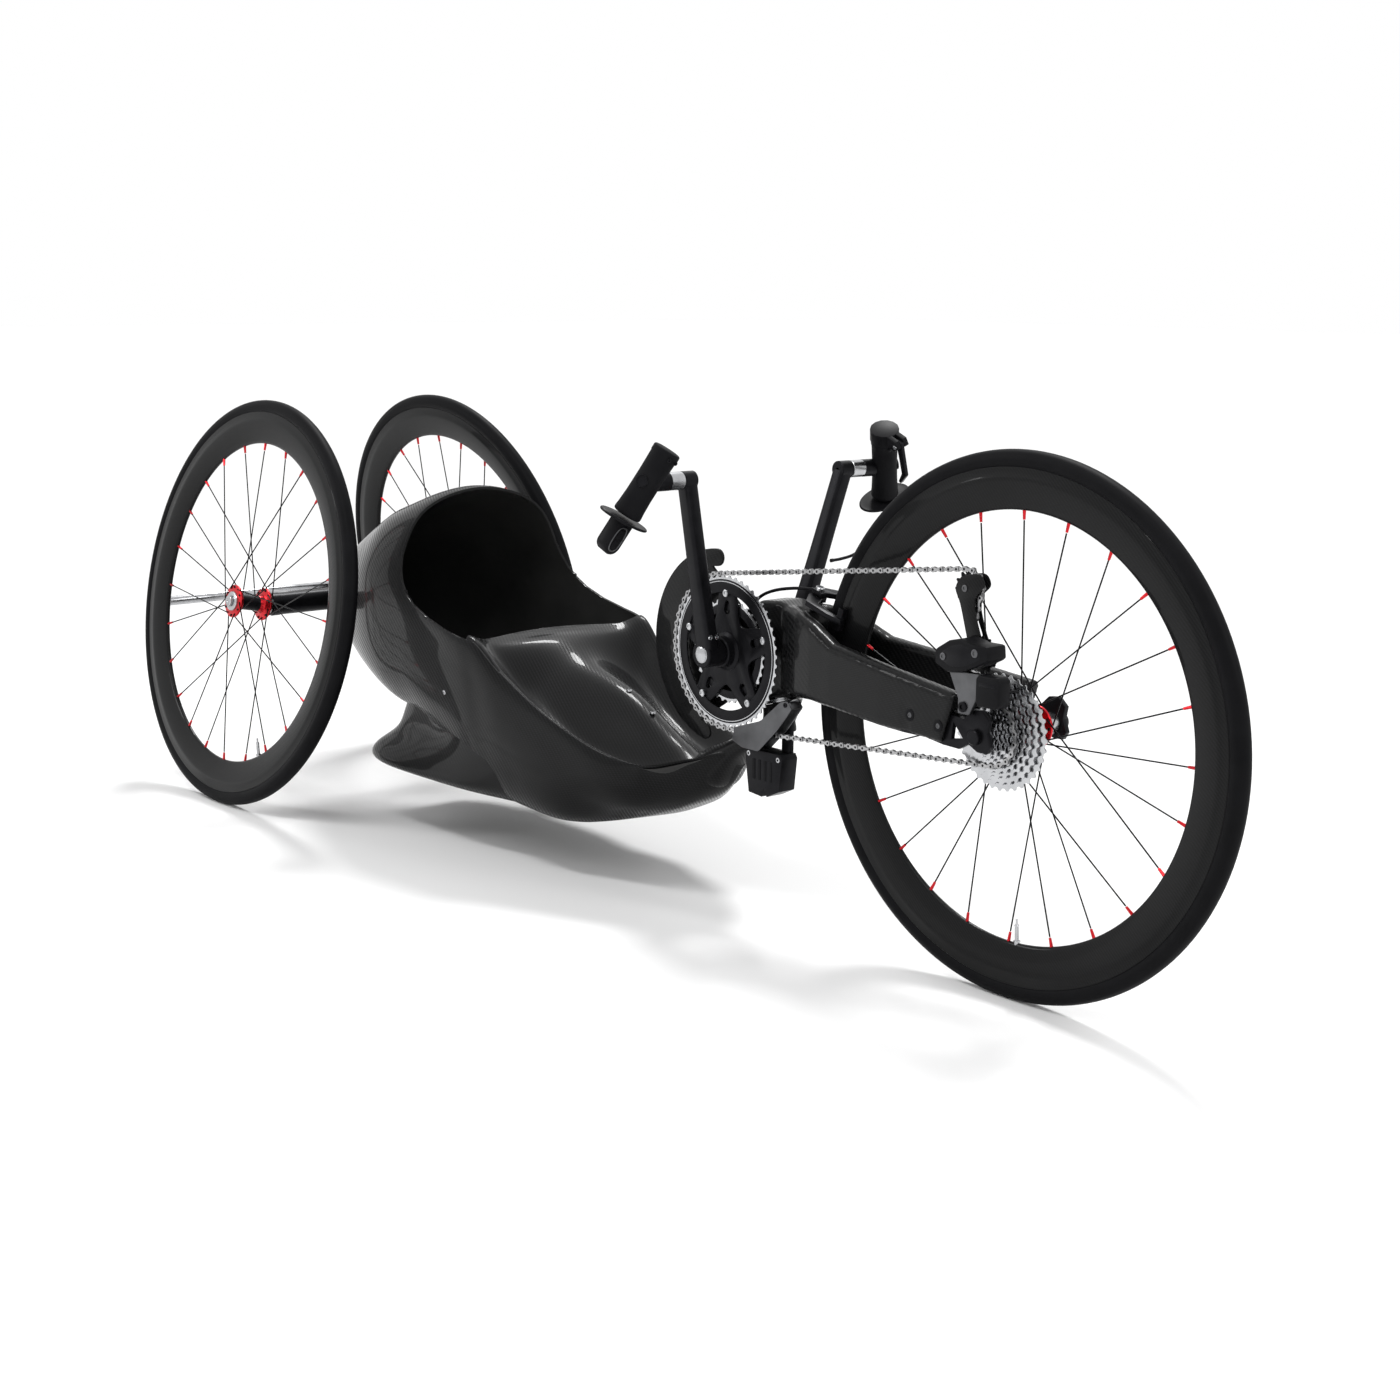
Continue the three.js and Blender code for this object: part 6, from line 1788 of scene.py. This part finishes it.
@dataclass
class Brake:
    """The front rim brake: two arms with pads on one bolt, and the two short cable housings."""

    bolt_radius: float = 4.0
    cable_radius: float = 2.2
    upper_route: tuple[Triple, ...] = (
        (1046.9, 223.3, 543.6), (1044, 219, 525), (1036, 206, 502), (1029, 178, 484), (1027.5, 152, 479),
        (1027, 134, 478))
    lower_route: tuple[Triple, ...] = (
        (1036, -14, 431.5), (1044, -15, 440), (1057, -15, 448), (1080, -14, 456), (1108, -9, 461),
        (1126, -4, 462), (1136.6, -1, 461.8))

    def build(self) -> None:
        """Makes the arms, the bolt and the housings."""
        for side in ("right", "left"):
            node = f"caliper_arm_{side}"
            softened(node, f"{side}_brake_arm", f"caliper_{side}", Slot.BLACK, Finish.ANODISED, 1.2)
        self.bolt()
        self.housing("upper", self.upper_route)
        self.housing("lower", self.lower_route)

    def bolt(self) -> None:
        """Makes the bolt that both arms turn on."""
        place = joint_place("right_caliper_close")
        axis = Vector(JOINTS["right_caliper_close"]["axis"]).normalized()
        reach = [(vertex.co - place).dot(axis) for vertex in copy_of("caliper_bolt").verts]
        low, high = min(reach), max(reach)
        r = self.bolt_radius
        profile = [(0, low), (2 * r - 0.8, low), (2 * r, low + 0.8), (2 * r, low + 12.8),
                   (2 * r - 0.6, low + 13.7), (r, low + 13.7), (r, high - r), (1.5 * r, high - r),
                   (1.5 * r, high - 0.8), (1.5 * r - 0.8, high), (r * 0.8, high), (r * 0.8, high - 2.2),
                   (0, high - 2.2)]
        shape = bmesh.new()
        lathe(shape, profile, 40, Matrix.Translation(place) @ aimed(axis))
        Piece("brake_bolt", "steered_unit", Slot.BLACK, (Finish.SILVER,), ("caliper_bolt",)).make(shape)

    def housing(self, name: str, route: Sequence[Triple]) -> None:
        """Makes one short housing, held at both ends, with a ferrule at each.

        Args:
            name: Which housing it is.
            route: The points of its middle line on the drawing.
        """
        node = f"brake_cable_{name}"
        points = spline([Vector(point) for point in route], 48)
        shape = bmesh.new()
        tube(shape, points, self.cable_radius, 16)
        for start, end in ((points[0], points[2]), (points[-3], points[-1])):
            bar(shape, start, end, self.cable_radius + 0.5, segments=20, material=1)
        finishes = (Finish.PLASTIC, Finish.ANODISED)
        Piece(f"{name}_housing", body_of(node), Slot.CABLE, finishes, (node,)).make(shape)


@dataclass
class Lamp:
    """A soft rectangular lamp, in metres, with what it points at."""

    place: Triple
    target: Triple
    power: float
    size: Pair


@dataclass
class Studio:
    """White surroundings, soft lamps and the camera that matches the photograph, in metres and radians."""

    camera_place: Triple = (2.45332, -1.92756, 0.86318)
    yaw: float = 0.86781
    pitch: float = 0.193409
    roll: float = 0.0085065
    lens: float = 55.72
    sensor: float = 36.0
    floor_size: float = 60.0
    sun_strength: float = 1.9
    sun_from: Triple = (-0.42, 0.5, 1.0)
    sun_softness: float = 14.0
    world_light: float = 0.58
    lamps: tuple[Lamp, ...] = (
        Lamp((0.4, -1.6, 3.0), (0.0, 0.0, 0.3), 34.0, (2.2, 0.35)),
        Lamp((-2.2, -2.4, 1.9), (-0.3, 0.0, 0.35), 20.0, (0.4, 1.5)),
        Lamp((2.9, 0.6, 2.0), (0.3, 0.0, 0.4), 20.0, (0.4, 1.6)),
    )

    def build(self) -> None:
        """Makes the camera first, then the floor, the world and the lamps."""
        self.camera()
        self.floor()
        self.world()
        self.lights()

    def camera(self) -> None:
        """Sets the camera where the photograph was taken from."""
        level = Vector((math.cos(self.yaw), math.sin(self.yaw), 0))
        ahead = AXIS_Z.cross(level) * math.cos(self.pitch) - AXIS_Z * math.sin(self.pitch)
        above = level.cross(ahead)
        right = level * math.cos(self.roll) + above * math.sin(self.roll)
        up = above * math.cos(self.roll) - level * math.sin(self.roll)
        data = bpy.data.cameras.new("camera")
        data.lens = self.lens
        data.sensor_width = self.sensor
        camera = linked("camera", data)
        turn = Matrix((right, up, -ahead)).transposed().to_4x4()
        camera.matrix_world = Matrix.Translation(self.camera_place) @ turn
        bpy.context.scene.camera = camera

    def floor(self) -> None:
        """Lays a wide white floor that catches the shadow."""
        shape = bmesh.new()
        bmesh.ops.create_grid(shape, x_segments=8, y_segments=8, size=self.floor_size / 2)
        floor = linked("floor", mesh_of(shape, "floor"))
        floor.data.materials.append(Backdrop("white floor").build())

    def world(self) -> None:
        """Makes a white world: bright to the camera and in mirror-like surfaces, softer as a light."""
        world = bpy.data.worlds.new("white room")
        bpy.context.scene.world = world
        world.use_nodes = True
        tree = world.node_tree
        tree.nodes.clear()
        mix = tree.nodes.new("ShaderNodeMixShader")
        for socket, strength in ((mix.inputs[1], self.world_light), (mix.inputs[2], 1.0)):
            light = tree.nodes.new("ShaderNodeBackground")
            light.inputs["Color"].default_value = (1, 1, 1, 1)
            light.inputs["Strength"].default_value = strength
            tree.links.new(light.outputs[0], socket)
        path = tree.nodes.new("ShaderNodeLightPath")
        shown = path.outputs["Is Camera Ray"]
        for ray in ("Is Glossy Ray", "Is Transmission Ray"):
            either = tree.nodes.new("ShaderNodeMath")
            either.operation = "MAXIMUM"
            tree.links.new(shown, either.inputs[0])
            tree.links.new(path.outputs[ray], either.inputs[1])
            shown = either.outputs[0]
        out = tree.nodes.new("ShaderNodeOutputWorld")
        tree.links.new(shown, mix.inputs["Fac"])
        tree.links.new(mix.outputs[0], out.inputs["Surface"])

    def lights(self) -> None:
        """Hangs the soft lamps, and a wide sun that lays the shadow towards the camera."""
        sun = bpy.data.lights.new("wide_sun", "SUN")
        sun.energy = self.sun_strength
        sun.angle = math.radians(self.sun_softness)
        high = linked("wide_sun", sun)
        high.rotation_euler = (-Vector(self.sun_from)).to_track_quat("-Z", "Y").to_euler()
        for i, lamp in enumerate(self.lamps):
            data = bpy.data.lights.new(f"softbox_{i}", "AREA")
            data.shape = "RECTANGLE"
            data.size, data.size_y = lamp.size
            data.energy = lamp.power
            softbox = linked(f"softbox_{i}", data)
            softbox.location = lamp.place
            aim = Vector(lamp.target) - Vector(lamp.place)
            softbox.rotation_euler = aim.to_track_quat("-Z", "Y").to_euler()


CAMBER = RearAxle.camber
REAR_FLANGES = ((20.0, 0.0), (-34.0, 0.5))
REAR_SPAN = (-38.0, 26.0)
WHEELS = (
    Wheel("front", "front_wheel_spin", 0.0, False, ((34.0, 0.0), (-20.0, 0.5)), (-63.5, 63.5), 14.5,
          ("spokes_left", "spokes_right"), -87.0),
    *(Wheel(name, f"{name}_wheel_spin", lean, turned, REAR_FLANGES, REAR_SPAN, 16.0,
            ("spokes_outer", "spokes_inner"), -114.8)
      for name, lean, turned in (("rear_left", CAMBER, False), ("rear_right", -CAMBER, True))),
)


def dress_the_rest() -> None:
    """Gives every CAD node that is still showing a procedural finish."""
    finishes = {"tyre": Finish.TYRE, "carbon": Finish.WEAVE, "black": Finish.ANODISED, "red": Finish.RED,
                "silver": Finish.SILVER, "rubber": Finish.GRIP}
    for name, node in frame["nodes"].items():
        if node.hide_render:
            continue
        log.info("%s keeps its CAD shape", name)
        for slot in node.material_slots:
            key = slot.material.name.split(".")[0] if slot.material else "black"
            slot.material = finishes.get(key, Finish.ANODISED).material


def main() -> None:
    """Builds the scene in order."""
    logging.basicConfig(level=logging.INFO, format="%(message)s")
    bpy.context.scene.view_settings.view_transform = "Standard"
    Studio().build()
    for wheel in WHEELS:
        wheel.build()
    RearAxle().build()
    Hull().build()
    FrontUnit().build()
    Drivetrain().build()
    Cranks().build()
    Grips().build()
    Brake().build()
    dress_the_rest()


if __name__ == "__main__":
    main()
